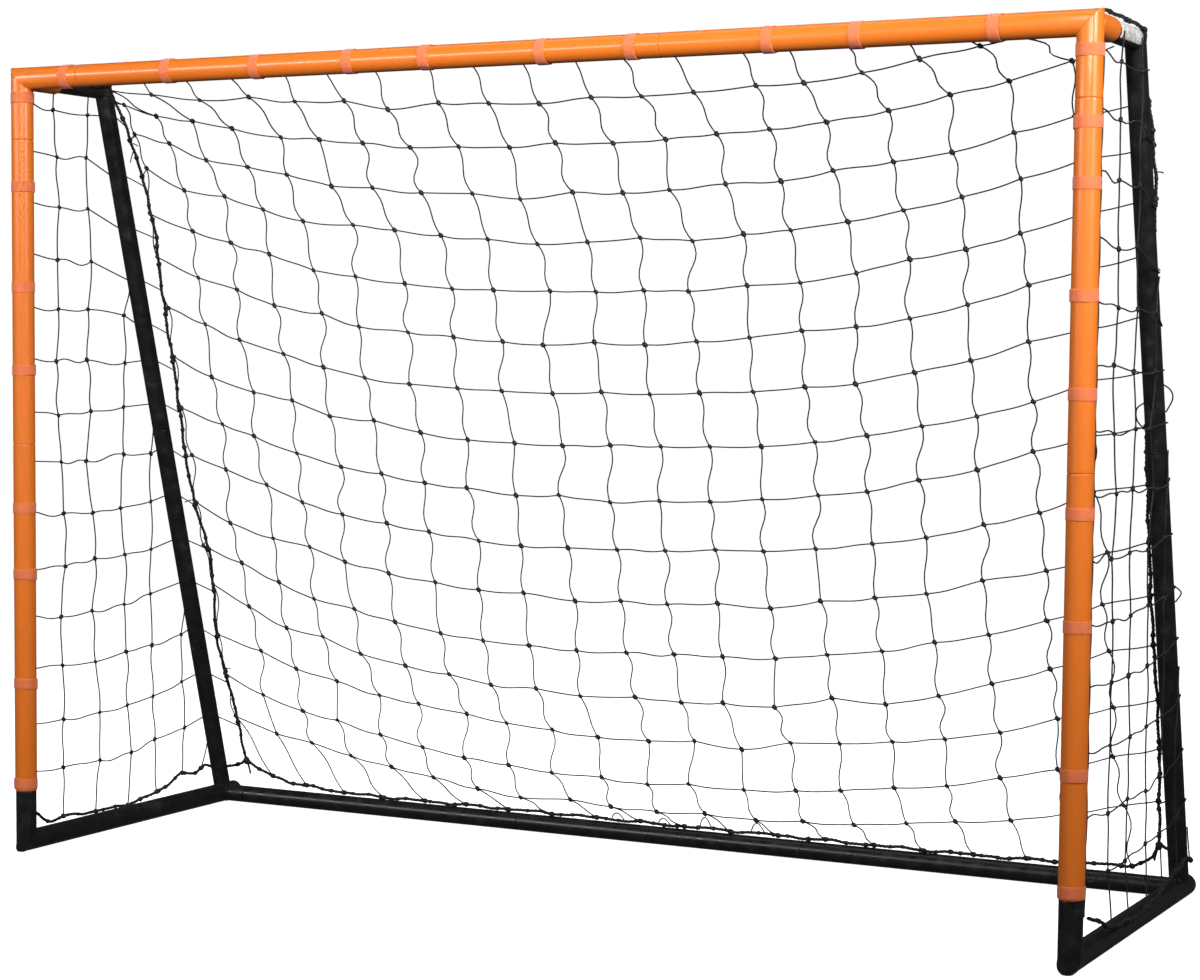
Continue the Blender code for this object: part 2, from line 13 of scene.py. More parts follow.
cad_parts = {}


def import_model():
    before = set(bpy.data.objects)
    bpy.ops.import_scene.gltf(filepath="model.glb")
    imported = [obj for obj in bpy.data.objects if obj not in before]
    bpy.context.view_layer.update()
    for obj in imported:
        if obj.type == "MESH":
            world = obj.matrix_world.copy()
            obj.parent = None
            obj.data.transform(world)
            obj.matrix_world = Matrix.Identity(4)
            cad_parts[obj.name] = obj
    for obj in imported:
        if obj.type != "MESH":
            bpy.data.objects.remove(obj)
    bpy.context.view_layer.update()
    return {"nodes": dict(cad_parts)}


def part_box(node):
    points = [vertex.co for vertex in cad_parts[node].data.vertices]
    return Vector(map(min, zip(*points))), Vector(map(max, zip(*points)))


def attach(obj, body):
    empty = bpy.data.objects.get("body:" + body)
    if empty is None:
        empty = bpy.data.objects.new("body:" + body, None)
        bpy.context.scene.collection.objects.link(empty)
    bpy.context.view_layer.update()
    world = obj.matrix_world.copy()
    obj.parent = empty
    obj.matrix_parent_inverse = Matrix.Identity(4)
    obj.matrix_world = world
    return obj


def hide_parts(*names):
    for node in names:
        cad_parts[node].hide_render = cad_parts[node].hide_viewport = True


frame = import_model()
rng = np.random.default_rng(11)

# ---- Dimensions of the CAD model ----
HEIGHT = 1.500
POST_X = 1.030
BASE_DEPTH = 0.675
TOP_DEPTH = 0.255
TAIL_DEPTH = 0.715
FRONT_RADIUS = 0.021
SIDE_RADIUS = 0.020
REAR_RADIUS = 0.0175
WALL = 0.0012
CLEARANCE = 0.0003
SEAM_GAP = 0.0004
TOP_SEAM_Z = 1.364
MIDDLE_SEAM_Z = 0.787
FOOT_SEAM_Z = 0.118
CORNER_SEAM_X = 0.890
BAR_SEAM_X = 0.308
CORNER_STUB_DEPTH = 0.100
BASE_STUB_LENGTH = 0.060
REAR_SEAM_LENGTH = 0.700
REAR_TUBE_OVERLAP = 0.065  # of the rear post's top inside the corner's stub
BUTTON_HOLE_RADIUS = 0.0044
BUTTON_FROM_POST_SEAM = 0.035
BUTTON_FROM_BAR_SEAM = 0.063
BUTTON_FROM_STUB_SEAM = 0.035
STRAP_WIDTH = 0.020
STRAPS_LEFT_POST = (1.443, 1.276, 1.086, 0.928, 0.664, 0.537, 0.326, 0.132)
STRAPS_RIGHT_POST = (1.438, 1.328, 1.234, 1.062, 0.910, 0.724, 0.548, 0.315, 0.130)
STRAPS_CROSSBAR = (-0.922, -0.689, -0.496, -0.299, -0.143, 0.085, 0.254, 0.500, 0.651, 0.880)

FACE_SHARE = math.cos(math.pi / 16)  # the CAD tubes have 16 faces and stand on one of them
CROSSBAR_Z = HEIGHT - FRONT_RADIUS * FACE_SHARE
BASE_Z = SIDE_RADIUS * FACE_SHARE
SIDE_LOOK_RADIUS = BASE_Z  # the round side tubes just touch the ground
POST_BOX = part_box("post_lower_right")
FRONT_Y = (POST_BOX[0][1] + POST_BOX[1][1]) / 2  # the posts' centre line

GROUND_CLEARANCE = 0.0001  # of the lowest welds
SIDES = 48  # faces round a visible tube
EDGE_ROUND = 0.0011  # rounding of a tube's end at a seam
SPIGOT_SHOWN = 0.030
SMOOTH_ANGLE = 35  # degrees; sharper edges stay sharp

LEFT_AND_RIGHT = ((-1, "left"), (1, "right"))
UP = Vector((0, 0, 1))
BACK = Vector((0, 1, 0))


def place(x, depth, z):
    """A point in the world, with its depth measured back from the posts' centre line."""
    return Vector((x, FRONT_Y + depth, z))


def rear_post_depth(z):
    """Depth of the rear post's centre line at a height."""
    share = (z - BASE_Z) / (CROSSBAR_Z - BASE_Z)
    return BASE_DEPTH + (TOP_DEPTH - BASE_DEPTH) * share


# ---- Materials ----
class Shader:
    """A material's node tree, with short calls for the nodes used here."""

    def __init__(self, name, **values):
        self.material = bpy.data.materials.new(name)
        self.material.use_nodes = True
        self.nodes = self.material.node_tree.nodes
        self.surface = self.nodes["Principled BSDF"]
        self.fill(self.surface, values)
        self.place = self.node("TexCoord", "Object")

    def fill(self, node, values):
        """Sets a node's inputs, by name or number, or links them to other nodes' outputs."""
        for name, value in values.items():
            slot = node.inputs[name if isinstance(name, int) else name.replace("_", " ")]
            if isinstance(value, bpy.types.NodeSocket):
                self.material.node_tree.links.new(value, slot)
            else:
                slot.default_value = value

    def node(self, kind, output, **values):
        node = self.nodes.new("ShaderNode" + kind)
        self.fill(node, values)
        return node.outputs[output]

    def drive(self, **values):
        """Feeds the surface's own inputs."""
        self.fill(self.surface, values)

    def noise(self, scale, detail=3.0, stretch=(1, 1, 1)):
        """Noise from 0 to 1, with scale in features per metre."""
        place = self.node("Mapping", "Vector", Vector=self.place, Scale=stretch)
        return self.node("TexNoise", "Fac", Vector=place, Scale=scale, Detail=detail)

    def ramp(self, fac, *stops):
        """A colour ramp through (position, colour) stops."""
        colour = self.node("ValToRGB", "Color", Fac=fac)
        points = colour.node.color_ramp.elements
        while len(points) < len(stops):
            points.new(0.5)
        for point, (position, tone) in zip(points, stops):
            point.position = position
            point.color = (*tone, 1.0)
        return colour

    def span(self, fac, low, high, start=0.0, end=1.0):
        """Maps start..end of a value to low..high."""
        limits = {"From_Min": start, "From_Max": end, "To_Min": low, "To_Max": high}
        return self.node("MapRange", "Result", Value=fac, **limits)

    def math(self, operation, *values):
        result = self.node("Math", "Value")
        result.node.operation = operation
        self.fill(result.node, dict(enumerate(values)))
        return result

    def bump(self, height, distance):
        """Adds a bump, with its height in metres for a value of 1."""
        normal = self.surface.inputs["Normal"]
        before = {"Normal": normal.links[0].from_socket} if normal.is_linked else {}
        bumped = self.node("Bump", "Normal", Height=height, Distance=distance, Strength=1.0, **before)
        self.drive(Normal=bumped)


def orange_paint():
    """Glossy powder coat with a slight orange peel and fine scuffs."""
    shader = Shader("orange_powder_coat", Coat_Weight=0.25, Coat_Roughness=0.16, IOR=1.5)
    tone = shader.noise(1.6, 1.0)
    colour = shader.ramp(tone, (0.3, (0.82, 0.184, 0.014)), (0.7, (0.87, 0.202, 0.020)))
    scuffs = shader.noise(90.0, 6.0)
    shader.drive(Base_Color=colour, Roughness=shader.span(scuffs, 0.30, 0.42, 0.4, 0.75))
    shader.bump(shader.noise(260.0, 1.0), 0.00002)
    return shader.material


def black_paint():
    """Semi-gloss black powder coat, dusty and rubbed in use."""
    shader = Shader("black_powder_coat", IOR=1.5, Specular_IOR_Level=0.5)
    dust = shader.noise(45.0, 8.0, (1, 0.5, 1))
    colour = shader.ramp(
        dust,
        (0.35, (0.0085, 0.0085, 0.0095)),
        (0.60, (0.0130, 0.0125, 0.0125)),
        (0.80, (0.0450, 0.0390, 0.0330)),
    )
    shader.drive(Base_Color=colour, Roughness=shader.span(dust, 0.24, 0.50, 0.35, 0.8))
    shader.bump(shader.noise(500.0, 2.0), 0.00006)
    return shader.material


WEAVE_RIBS = 90  # ribs round a strap
WEAVE_PITCH = 0.0011  # of the ribs across a strap


def webbing():
    """Hook-and-loop webbing: fine ribs both ways, in each strap's own axes."""
    shader = Shader("woven_webbing", Sheen_Weight=0.35, Sheen_Roughness=0.45, IOR=1.4)
    x, y, z = (shader.node("SeparateXYZ", axis, Vector=shader.place) for axis in "XYZ")
    round_ribs = shader.math("SINE", shader.math("MULTIPLY", shader.math("ARCTAN2", y, x), WEAVE_RIBS))
    cross_ribs = shader.math("SINE", shader.math("MULTIPLY", z, 2 * math.pi / WEAVE_PITCH))
    weave = shader.math("MULTIPLY", round_ribs, cross_ribs)
    fuzz = shader.noise(900.0, 4.0)
    tone = shader.math("ADD", shader.math("MULTIPLY", weave, 0.05), fuzz)
    colour = shader.ramp(tone, (0.25, (0.78, 0.165, 0.055)), (0.75, (0.89, 0.228, 0.086)))
    shader.drive(Base_Color=colour, Roughness=shader.span(fuzz, 0.7, 0.95))
    shader.bump(weave, 0.00004)
    shader.bump(fuzz, 0.00008)
    return shader.material


def grained(name, grain, colours, roughness, relief=0.0, **values):
    """A material whose colour, roughness and relief in metres follow one noise."""
    shader = Shader(name, **values)
    height = shader.noise(*grain)
    shader.drive(Base_Color=shader.ramp(height, *colours), Roughness=shader.span(height, *roughness))
    if relief:
        shader.bump(height, relief)
    return shader.material


def twine():
    """Twisted polyethylene twine with a slight gloss and loose fibres."""
    colours = ((0.3, (0.006, 0.006, 0.007)), (0.75, (0.024, 0.023, 0.022)))
    surface = {"Sheen_Weight": 0.08, "Sheen_Roughness": 0.4, "IOR": 1.45, "Specular_IOR_Level": 0.3}
    return grained("twisted_twine", (700.0, 5.0), colours, (0.42, 0.7), 0.0003, **surface)


def zinc():
    """Zinc-plated steel, faintly mottled."""
    colours = ((0.3, (0.46, 0.46, 0.47)), (0.7, (0.66, 0.66, 0.66)))
    return grained("zinc_plate", (350.0, 3.0), colours, (0.25, 0.45), Metallic=1.0)


def plastic():
    """Moulded black plastic with a fine grain."""
    colours = ((0.3, (0.014, 0.014, 0.014)), (0.7, (0.024, 0.024, 0.024)))
    return grained("moulded_plastic", (900.0, 2.0), colours, (0.42, 0.6), 0.0001)


def label_film():
    """White vinyl label, blank and a little wrinkled."""
    colours = ((0.35, (0.42, 0.42, 0.41)), (0.62, (0.82, 0.82, 0.80)))
    return grained("label_film", (120.0, 4.0), colours, (0.3, 0.5), 0.0006)


# Each material with the name of its slot.
ORANGE = (orange_paint(), "orange_paint")
BLACK = (black_paint(), "black_paint")
WEBBING = (webbing(), "orange_webbing")
TWINE = (twine(), "black_twine")
PLASTIC = (plastic(), "black_plastic")
LABEL = (label_film(), "black_plastic")
ZINC = zinc()


# ---- Objects and meshes ----
def add_object(name, data):
    made = bpy.data.objects.new(name, data)
    bpy.context.scene.collection.objects.link(made)
    return made


def smooth(mesh, angle=SMOOTH_ANGLE):
    mesh.shade_smooth()
    mesh.set_sharp_from_angle(angle=math.radians(angle))


def finish_object(name, mesh, look, smooth_angle=SMOOTH_ANGLE):
    """Puts a mesh in the scene with the material from its (material, slot) pair; the slot name is not used.
    """
    material, slot = look
    smooth(mesh, smooth_angle)
    mesh.materials.append(material)
    made = add_object(name, mesh)
    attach(made, "frame")
    return made


def mesh_from_bmesh(name, bm):
    bmesh.ops.recalc_face_normals(bm, faces=bm.faces)
    mesh = bpy.data.meshes.new(name)
    bm.to_mesh(mesh)
    bm.free()
    return mesh


def turn_angles(count):
    """Evenly spaced angles of one full turn."""
    return [step * 2 * math.pi / count for step in range(count)]


def first_side(direction):
    """A fixed direction across a tube, so that its faces line up with the axes."""
    across = Vector((1, 0, 0)) if abs(direction.x) < 0.7 else BACK
    return (across - direction * across.dot(direction)).normalized()


def mitred_rings(stations):
    """Rings of points along a path of (point, radius), cut at half angle where it turns."""
    points = [point for point, _ in stations]
    heading = (points[1] - points[0]).normalized()
    across = first_side(heading)
    rings = []
    for index, (point, radius) in enumerate(stations):
        leaving = heading
        if index + 1 < len(points):
            leaving = (points[index + 1] - point).normalized()
        cut = (heading + leaving).normalized()
        up = heading.cross(across)
        ring = []
        for angle in turn_angles(SIDES):
            offset = (across * math.cos(angle) + up * math.sin(angle)) * radius
            slide = -offset.dot(cut) / heading.dot(cut)
            ring.append(point + offset + heading * slide)
        rings.append(ring)
        across = heading.rotation_difference(leaving) @ across
        heading = leaving
    return rings


def bridge(bm, one, other):
    """Quads between two closed rings."""
    for step, point in enumerate(one):
        after = (step + 1) % len(one)
        bm.faces.new((point, one[after], other[after], other[step]))


def bridge_all(bm, rings):
    for one, other in zip(rings, rings[1:]):
        bridge(bm, one, other)


def add_sheet(bm, rows):
    """Quads between open rows of points."""
    for one, other in zip(rows, rows[1:]):
        for column in range(len(one) - 1):
            bm.faces.new((one[column], one[column + 1], other[column + 1], other[column]))


def add_rings(bm, stations):
    return [[bm.verts.new(point) for point in ring] for ring in mitred_rings(stations)]


def add_rod(bm, stations):
    rings = add_rings(bm, stations)
    bridge_all(bm, rings)
    bm.faces.new(rings[0])
    bm.faces.new(rings[-1])


def add_pipe(bm, outer):
    """An open tube from its outer path of (point, radius)."""
    outside = add_rings(bm, outer)
    inside = add_rings(bm, [(point, radius - WALL) for point, radius in outer])
    bridge_all(bm, outside)
    bridge_all(bm, inside)
    bridge(bm, outside[0], inside[0])
    bridge(bm, outside[-1], inside[-1])


BEAD_SIDES = 8
BEAD_WAVES = ((0.16, 2.6), (0.10, 1.1))  # (share of its radius, radians from ring to ring)


def add_ring_bead(bm, centres, outwards, radius):
    """A closed bead of weld round a loop of points, with a slightly uneven thickness."""
    rings = []
    for index, (centre, outward) in enumerate(zip(centres, outwards)):
        along = (centres[(index + 1) % len(centres)] - centres[index - 1]).normalized()
        side = along.cross(outward).normalized()
        out = side.cross(along)
        size = radius * (1 + sum(share * math.sin(index * pace) for share, pace in BEAD_WAVES))
        ring = []
        for angle in turn_angles(BEAD_SIDES):
            point = centre + (out * math.cos(angle) + side * math.sin(angle)) * size
            point.z = max(point.z, GROUND_CLEARANCE)
            ring.append(bm.verts.new(point))
        rings.append(ring)
    bridge_all(bm, [*rings, rings[0]])


def mitre_bead(bm, before, corner, after, tube_radius, bead_radius):
    """A weld round the mitre between two tubes of the same size."""
    stations = [(before, tube_radius), (corner, tube_radius), (after, tube_radius)]
    ring = mitred_rings(stations)[1]
    add_ring_bead(bm, ring, [(point - corner).normalized() for point in ring], bead_radius)


def saddle_bead(bm, foot, along, stub_radius, main_axis, main_radius, bead_radius):
    """A weld where a stub leaves the side of a tube whose centre line passes through foot."""
    one = first_side(along)
    two = along.cross(one)
    flat_along = along - main_axis * along.dot(main_axis)
    centres, outwards = [], []
    for angle in turn_angles(SIDES):
        radial = one * math.cos(angle) + two * math.sin(angle)
        start = radial * stub_radius
        start -= main_axis * start.dot(main_axis)
        a = flat_along.length_squared
        b = start.dot(flat_along)
        c = start.length_squared - main_radius**2
        reach = (-b + math.sqrt(max(b * b - a * c, 0))) / a
        centres.append(foot + radial * stub_radius + along * reach)
        outwards.append(radial)
    add_ring_bead(bm, centres, outwards, bead_radius)


# ---- Tubes ----
# A tube's end, in EDGE_ROUNDs: (distance from its edge, radius lost).
END_PROFILE = ((0.0, 0.75), (0.3, 0.25), (1.0, 0.0), (2.2, 0.0), (6.0, 0.0))
WELD = 0.0011  # bead radius of the orange welds
BLACK_WELD = 0.0016
MITRE_BEAD = 0.6  # size of a bead on a mitre, against one round a stub
STUB_RADIUS = FRONT_RADIUS * 0.98  # of the top corner's stub, clear of the corner's own faces


def end_stations(point, inward, radius, spigot=False):
    """The rounded end of a tube at a seam, from its outermost ring inward."""
    shoulder = [
        (point + inward * (SEAM_GAP + EDGE_ROUND * distance), radius - EDGE_ROUND * lost)
        for distance, lost in END_PROFILE
    ]
    if not spigot:
        return shoulder
    reduced = radius - WALL - CLEARANCE
    return [(point - inward * SPIGOT_SHOWN, reduced), (point + inward * SEAM_GAP / 2, reduced), *shoulder]


def tube_path(start, end, radius, spigot_at_start=False, spigot_at_end=False, corners=()):
    """Outer path of a tube from seam to seam, by way of its mitred corners."""
    second = corners[0] if corners else end
    last = corners[-1] if corners else start
    path = end_stations(start, (second - start).normalized(), radius, spigot_at_start)
    path += [(corner, radius) for corner in corners]
    path += reversed(end_stations(end, (last - end).normalized(), radius, spigot_at_end))
    return path


def stub_path(centre, along, length, radius, tube_radius):
    """Outer path of a stub that starts inside a tube, near the tube's centre line."""
    end = end_stations(centre + along * length, -along, radius)
    return [(centre + along * tube_radius / 2, radius), *reversed(end)]


def tube_piece(part, label, path, look):
    """A hollow tube that stands for a CAD node."""
    name = f"{part}_tube_{label}"
    node = f"{part}_{label}"
    bm = bmesh.new()
    add_pipe(bm, path)
    piece = finish_object(name, mesh_from_bmesh(name, bm), look)
    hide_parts(node)
    return piece


def combine(piece, path, operation):
    """Joins a rod to a piece, or cuts it out of it, as one closed surface."""
    bm = bmesh.new()
    add_rod(bm, path)
    helper = add_object("helper", mesh_from_bmesh("helper", bm))
    change = piece.modifiers.new("change", "BOOLEAN")
    change.operation = operation
    change.solver = "EXACT"
    change.object = helper
    bpy.context.view_layer.update()
    made = bpy.data.meshes.new_from_object(piece.evaluated_get(bpy.context.evaluated_depsgraph_get()))
    piece.modifiers.clear()
    piece.data = made
    bpy.data.objects.remove(helper)
    smooth(piece.data)


def drill(piece, centre, outward):
    """The hole for a snap button, through one wall of a tube."""
    inner = centre + outward * REAR_RADIUS / 2
    outer = centre + outward * FRONT_RADIUS * 1.5
    combine(piece, [(inner, BUTTON_HOLE_RADIUS), (outer, BUTTON_HOLE_RADIUS)], "DIFFERENCE")


def add_beads(piece, *beads):
    """Adds weld beads to a piece, each given as its function and that function's values."""
    bm = bmesh.new()
    bm.from_mesh(piece.data)
    for bead, *values in beads:
        bead(bm, *values)
    bmesh.ops.recalc_face_normals(bm, faces=bm.faces)
    bm.to_mesh(piece.data)
    bm.free()
    smooth(piece.data)


def build_posts(side, label):
    x = side * POST_X
    for part, low, high in (
        ("post_upper", MIDDLE_SEAM_Z, TOP_SEAM_Z),
        ("post_lower", FOOT_SEAM_Z, MIDDLE_SEAM_Z),
    ):
        path = tube_path(place(x, 0, low), place(x, 0, high), FRONT_RADIUS, spigot_at_end=True)
        tube_piece(part, label, path, ORANGE)


def build_top_corner(side, label):
    x = side * POST_X
    corner = place(x, 0, CROSSBAR_Z)
    bottom = place(x, 0, TOP_SEAM_Z)
    inner_end = place(side * CORNER_SEAM_X, 0, CROSSBAR_Z)
    path = tube_path(bottom, inner_end, FRONT_RADIUS, corners=(corner,))
    piece = tube_piece("top_corner", label, path, ORANGE)
    combine(piece, stub_path(corner, BACK, CORNER_STUB_DEPTH, STUB_RADIUS, FRONT_RADIUS), "UNION")
    drill(piece, place(x, 0, TOP_SEAM_Z + BUTTON_FROM_POST_SEAM), BACK)
    drill(piece, place(side * (CORNER_SEAM_X + BUTTON_FROM_BAR_SEAM), 0, CROSSBAR_Z), BACK)
    add_beads(
        piece,
        (mitre_bead, bottom, corner, inner_end, FRONT_RADIUS, WELD * MITRE_BEAD),
        (saddle_bead, corner, BACK, STUB_RADIUS, UP, FRONT_RADIUS, WELD),
    )


def build_middle_tube(part, depth, z, radius, look):
    """The middle tube of a three-tube bar, with a spigot at either end."""
    left, right = (place(side * BAR_SEAM_X, depth, z) for side in (-1, 1))
    tube_piece(part, "middle", tube_path(left, right, radius, True, True), look)


def build_crossbar():
    for side, label in LEFT_AND_RIGHT:
        inner = place(side * BAR_SEAM_X, 0, CROSSBAR_Z)
        outer = place(side * CORNER_SEAM_X, 0, CROSSBAR_Z)
        tube_piece("crossbar", label, tube_path(inner, outer, FRONT_RADIUS, spigot_at_end=True), ORANGE)
    build_middle_tube("crossbar", 0, CROSSBAR_Z, FRONT_RADIUS, ORANGE)


def rear_post_line(side):
    """The foot, the bend and the direction from the foot up to the bend."""
    foot = place(side * POST_X, BASE_DEPTH, BASE_Z)
    bend = place(side * POST_X, TOP_DEPTH, CROSSBAR_Z)
    return foot, bend, (bend - foot).normalized()


def build_side_base(side, label):
    x = side * POST_X
    top = place(x, 0, FOOT_SEAM_Z)
    corner = place(x, 0, BASE_Z)
    rear_end = place(x, TAIL_DEPTH, BASE_Z)
    foot, _, up = rear_post_line(side)
    path = tube_path(top, rear_end, SIDE_LOOK_RADIUS, spigot_at_start=True, corners=(corner,))
    piece = tube_piece("side_base", label, path, BLACK)
    beads = [(mitre_bead, top, corner, rear_end, SIDE_LOOK_RADIUS, BLACK_WELD * MITRE_BEAD)]
    for along in (up, Vector((-side, 0, 0))):
        combine(piece, stub_path(foot, along, BASE_STUB_LENGTH, REAR_RADIUS, SIDE_LOOK_RADIUS), "UNION")
        beads.append((saddle_bead, foot, along, REAR_RADIUS, BACK, SIDE_LOOK_RADIUS, BLACK_WELD))
    add_beads(piece, *beads)


def build_rear(side, label):
    foot, bend, up = rear_post_line(side)
    button_reach = BASE_STUB_LENGTH + BUTTON_FROM_STUB_SEAM
    front = place(side * POST_X, CORNER_STUB_DEPTH - REAR_TUBE_OVERLAP, CROSSBAR_Z)
    seam = bend - up * REAR_SEAM_LENGTH
    upper = tube_piece("rear_post_upper", label, tube_path(front, seam, REAR_RADIUS, corners=(bend,)), BLACK)
    add_beads(upper, (mitre_bead, front, bend, seam, REAR_RADIUS, BLACK_WELD * MITRE_BEAD))
    path = tube_path(foot + up * BASE_STUB_LENGTH, seam, REAR_RADIUS, spigot_at_end=True)
    lower = tube_piece("rear_post_lower", label, path, BLACK)
    drill(lower, foot + up * button_reach, Vector((0, up.z, -up.y)))
    stub_end = place(side * (POST_X - BASE_STUB_LENGTH), BASE_DEPTH, BASE_Z)
    bar_seam = place(side * BAR_SEAM_X, BASE_DEPTH, BASE_Z)
    bar = tube_piece("rear_bar", label, tube_path(stub_end, bar_seam, REAR_RADIUS), BLACK)
    drill(bar, foot + Vector((-side, 0, 0)) * button_reach, BACK)


PLUG_PROFILE = (  # (radius, height past the tube's end) of the domed plug, from its inner tip
    (0.0000, -0.0120), (0.0178, -0.0120), (0.0181, -0.0100), (0.0181, 0.0002),
    (0.0196, 0.0002), (0.0196, 0.0010), (0.0191, 0.0018), (0.0180, 0.0024),
    (0.0140, 0.0028), (0.0070, 0.0029), (0.0000, 0.0029),
)


def build_plug(side, label):
    base = place(side * POST_X, TAIL_DEPTH, BASE_Z)
    bm = bmesh.new()
    rings = []
    for radius, height in PLUG_PROFILE[1:-1]:
        spokes = [Vector((math.cos(angle), 0, math.sin(angle))) for angle in turn_angles(SIDES)]
        rings.append([bm.verts.new(base + BACK * height + spoke * radius) for spoke in spokes])
    bridge_all(bm, rings)
    for ring, (_, height) in ((rings[0], PLUG_PROFILE[0]), (rings[-1], PLUG_PROFILE[-1])):
        tip = bm.verts.new(base + BACK * height)
        for step in range(SIDES):
            bm.faces.new((tip, ring[step], ring[(step + 1) % SIDES]))
    name = "base_end_plug_" + label
    piece = finish_object(name, mesh_from_bmesh(name, bm), PLASTIC)
    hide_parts("base_plug_" + label)


# ---- Straps ----
STRAP_LAYER = 0.0010
STRAP_INNER = FRONT_RADIUS + 0.0002
STRAP_STEPS = 72  # in one turn
STRAP_END_TAPER = (0.45, 0.95)  # share of the thickness at each end, and one step from it
STRAP_SECTION = (  # (place from edge to edge, share of the thickness): the edges are selvedges
    (-1.0, 0.45), (-0.97, 0.85), (-0.90, 1.0), (-0.5, 0.93), (0.0, 0.97),
    (0.5, 0.93), (0.90, 1.0), (0.97, 0.85), (1.0, 0.45),
)
STRAP_SMOOTH_ANGLE = 50
LAP_START = 0.96  # share of a turn where the tail starts to climb over the band
LAP_CLIMB = 0.06  # share of a turn that it takes
LAP_HEIGHT = STRAP_LAYER * 1.05
LAP_SHIFT = 1.4  # of the tail along the tube, in skews
STRAP_WAVE = 0.00012  # height of the band's five slight waves round the tube
STRAP_TAIL = (0.20, 0.38)  # shortest and longest, as shares of a turn
STRAP_SKEW = 0.00045


def strap_mesh(name, tail_share, skew, twist):
    """A band wound once round a tube with its tail lapped over it, round the local Z axis."""
    steps = round(STRAP_STEPS * (1.0 + tail_share))
    bm = bmesh.new()
    inner_rows, outer_rows = [], []
    for step in range(steps + 1):
        share = step / STRAP_STEPS
        angle = 2 * math.pi * share + twist
        lap = min(max((share - LAP_START) / LAP_CLIMB, 0.0), 1.0)
        lift = LAP_HEIGHT * lap * lap * (3 - 2 * lap)
        near_end = min(step, steps - step)
        taper = STRAP_END_TAPER[near_end] if near_end < len(STRAP_END_TAPER) else 1.0
        inner = STRAP_INNER + lift + STRAP_WAVE * math.sin(angle * 5 + twist * 7)
        inner_row, outer_row = [], []
        for across, thick in STRAP_SECTION:
            z = across * STRAP_WIDTH / 2 + skew * math.sin(angle) + lap * skew * LAP_SHIFT
            for row, radius in ((inner_row, inner), (outer_row, inner + STRAP_LAYER * thick * taper)):
                row.append(bm.verts.new((radius * math.cos(angle), radius * math.sin(angle), z)))
        inner_rows.append(inner_row)
        outer_rows.append(outer_row)
    add_sheet(bm, inner_rows)
    add_sheet(bm, outer_rows)
    for end in (0, -1):
        add_sheet(bm, [[inner[end], outer[end]] for inner, outer in zip(inner_rows, outer_rows)])
        add_sheet(bm, [inner_rows[end], outer_rows[end]])
    return mesh_from_bmesh(name, bm)


def build_strap(node, centre, turn):
    """A strap at a point, with its local Z axis turned along the tube."""
    name = node.replace("strap", "webbing_strap")
    tail_share = rng.uniform(*STRAP_TAIL)
    skew = rng.normal(0.0, STRAP_SKEW)
    twist = rng.uniform(0.0, 2 * math.pi)
    piece = finish_object(name, strap_mesh(name, tail_share, skew, twist), WEBBING, STRAP_SMOOTH_ANGLE)
    piece.matrix_world = Matrix.Translation(centre) @ turn
    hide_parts(node)


def build_straps():
    upright = Matrix.Identity(4)
    along_x = Matrix.Rotation(math.pi / 2, 4, "Y")
    for (side, label), heights in zip(LEFT_AND_RIGHT, (STRAPS_LEFT_POST, STRAPS_RIGHT_POST)):
        for number, z in enumerate(heights, 1):
            build_strap(f"strap_{label}_post_{number}", place(side * POST_X, 0, z), upright)
    for number, x in enumerate(STRAPS_CROSSBAR, 1):
        build_strap(f"strap_crossbar_{number}", place(x, 0, CROSSBAR_Z), along_x)


# ---- Border rope: the same route as in the CAD model ----
SIDE_ROPE_X = 1.0545  # of the bottom rope beside the goal
BOTTOM_ROPE_LEFT = (  # (depth, height)
    (0.012, 0.085), (0.060, 0.062), (0.100, 0.040), (0.150, 0.042), (0.260, 0.037),
    (0.370, 0.036), (0.430, 0.042), (0.500, 0.055), (0.550, 0.072), (0.600, 0.069),
)
BOTTOM_ROPE_RIGHT = (
    (0.012, 0.088), (0.060, 0.077), (0.100, 0.061), (0.150, 0.050), (0.260, 0.040),
    (0.365, 0.043), (0.470, 0.058), (0.550, 0.073), (0.600, 0.081),
)
ROPE_ROUND_POST = (  # (distance from the middle, depth, height), and so in the next four
    (1.0540, 0.642, 0.080), (1.0515, 0.668, 0.073), (1.0400, 0.690, 0.071),
    (1.0200, 0.700, 0.074), (1.0020, 0.702, 0.082),
)
CORNER_KNOT = (0.986, 0.698, 0.088)
REAR_ROPE_LEFT = ((0.945, 0.697, 0.069), (0.886, 0.687, 0.056), (0.830, 0.680, 0.050))
REAR_ROPE_RIGHT = (
    (0.976, 0.701, 0.067), (0.953, 0.696, 0.055), (0.925, 0.689, 0.047), (0.860, 0.680, 0.047),
)
REAR_ROPE = (
    (0.700, 0.676, 0.043), (0.450, 0.672, 0.043), (0.200, 0.676, 0.043), (0.000, 0.672, 0.043),
)
LEFT_ROPE_CLIMB = (  # (inside the rear post's line, behind it, height)
    (0.042, 0.032, 0.240), (0.030, 0.030, 0.360), (0.046, 0.032, 0.530),
    (0.027, 0.032, 0.690), (0.034, 0.032, 0.900), (0.036, 0.034, 1.080),
    (0.043, 0.034, 1.225), (0.024, 0.036, 1.370), (0.006, 0.034, 1.440),
)
RIGHT_ROPE_CLIMB = (
    (0.033, 0.032, 0.240), (0.030, 0.030, 0.360), (0.032, 0.032, 0.530),
    (0.029, 0.032, 0.690), (0.024, 0.033, 0.850), (0.012, 0.034, 1.000),
    (0.000, 0.035, 1.120), (-0.012, 0.035, 1.260), (-0.008, 0.036, 1.370),
    (0.000, 0.034, 1.440),
)
CORNER_ROPE_TOP = (  # (distance from the middle, depth, height)
    (1.037, 0.282, 1.4900), (1.040, 0.255, 1.5005), (1.040, 0.180, 1.5005),
    (1.038, 0.110, 1.5050), (1.036, 0.060, 1.5050),
)
ROPE_RADIUS = 0.0032
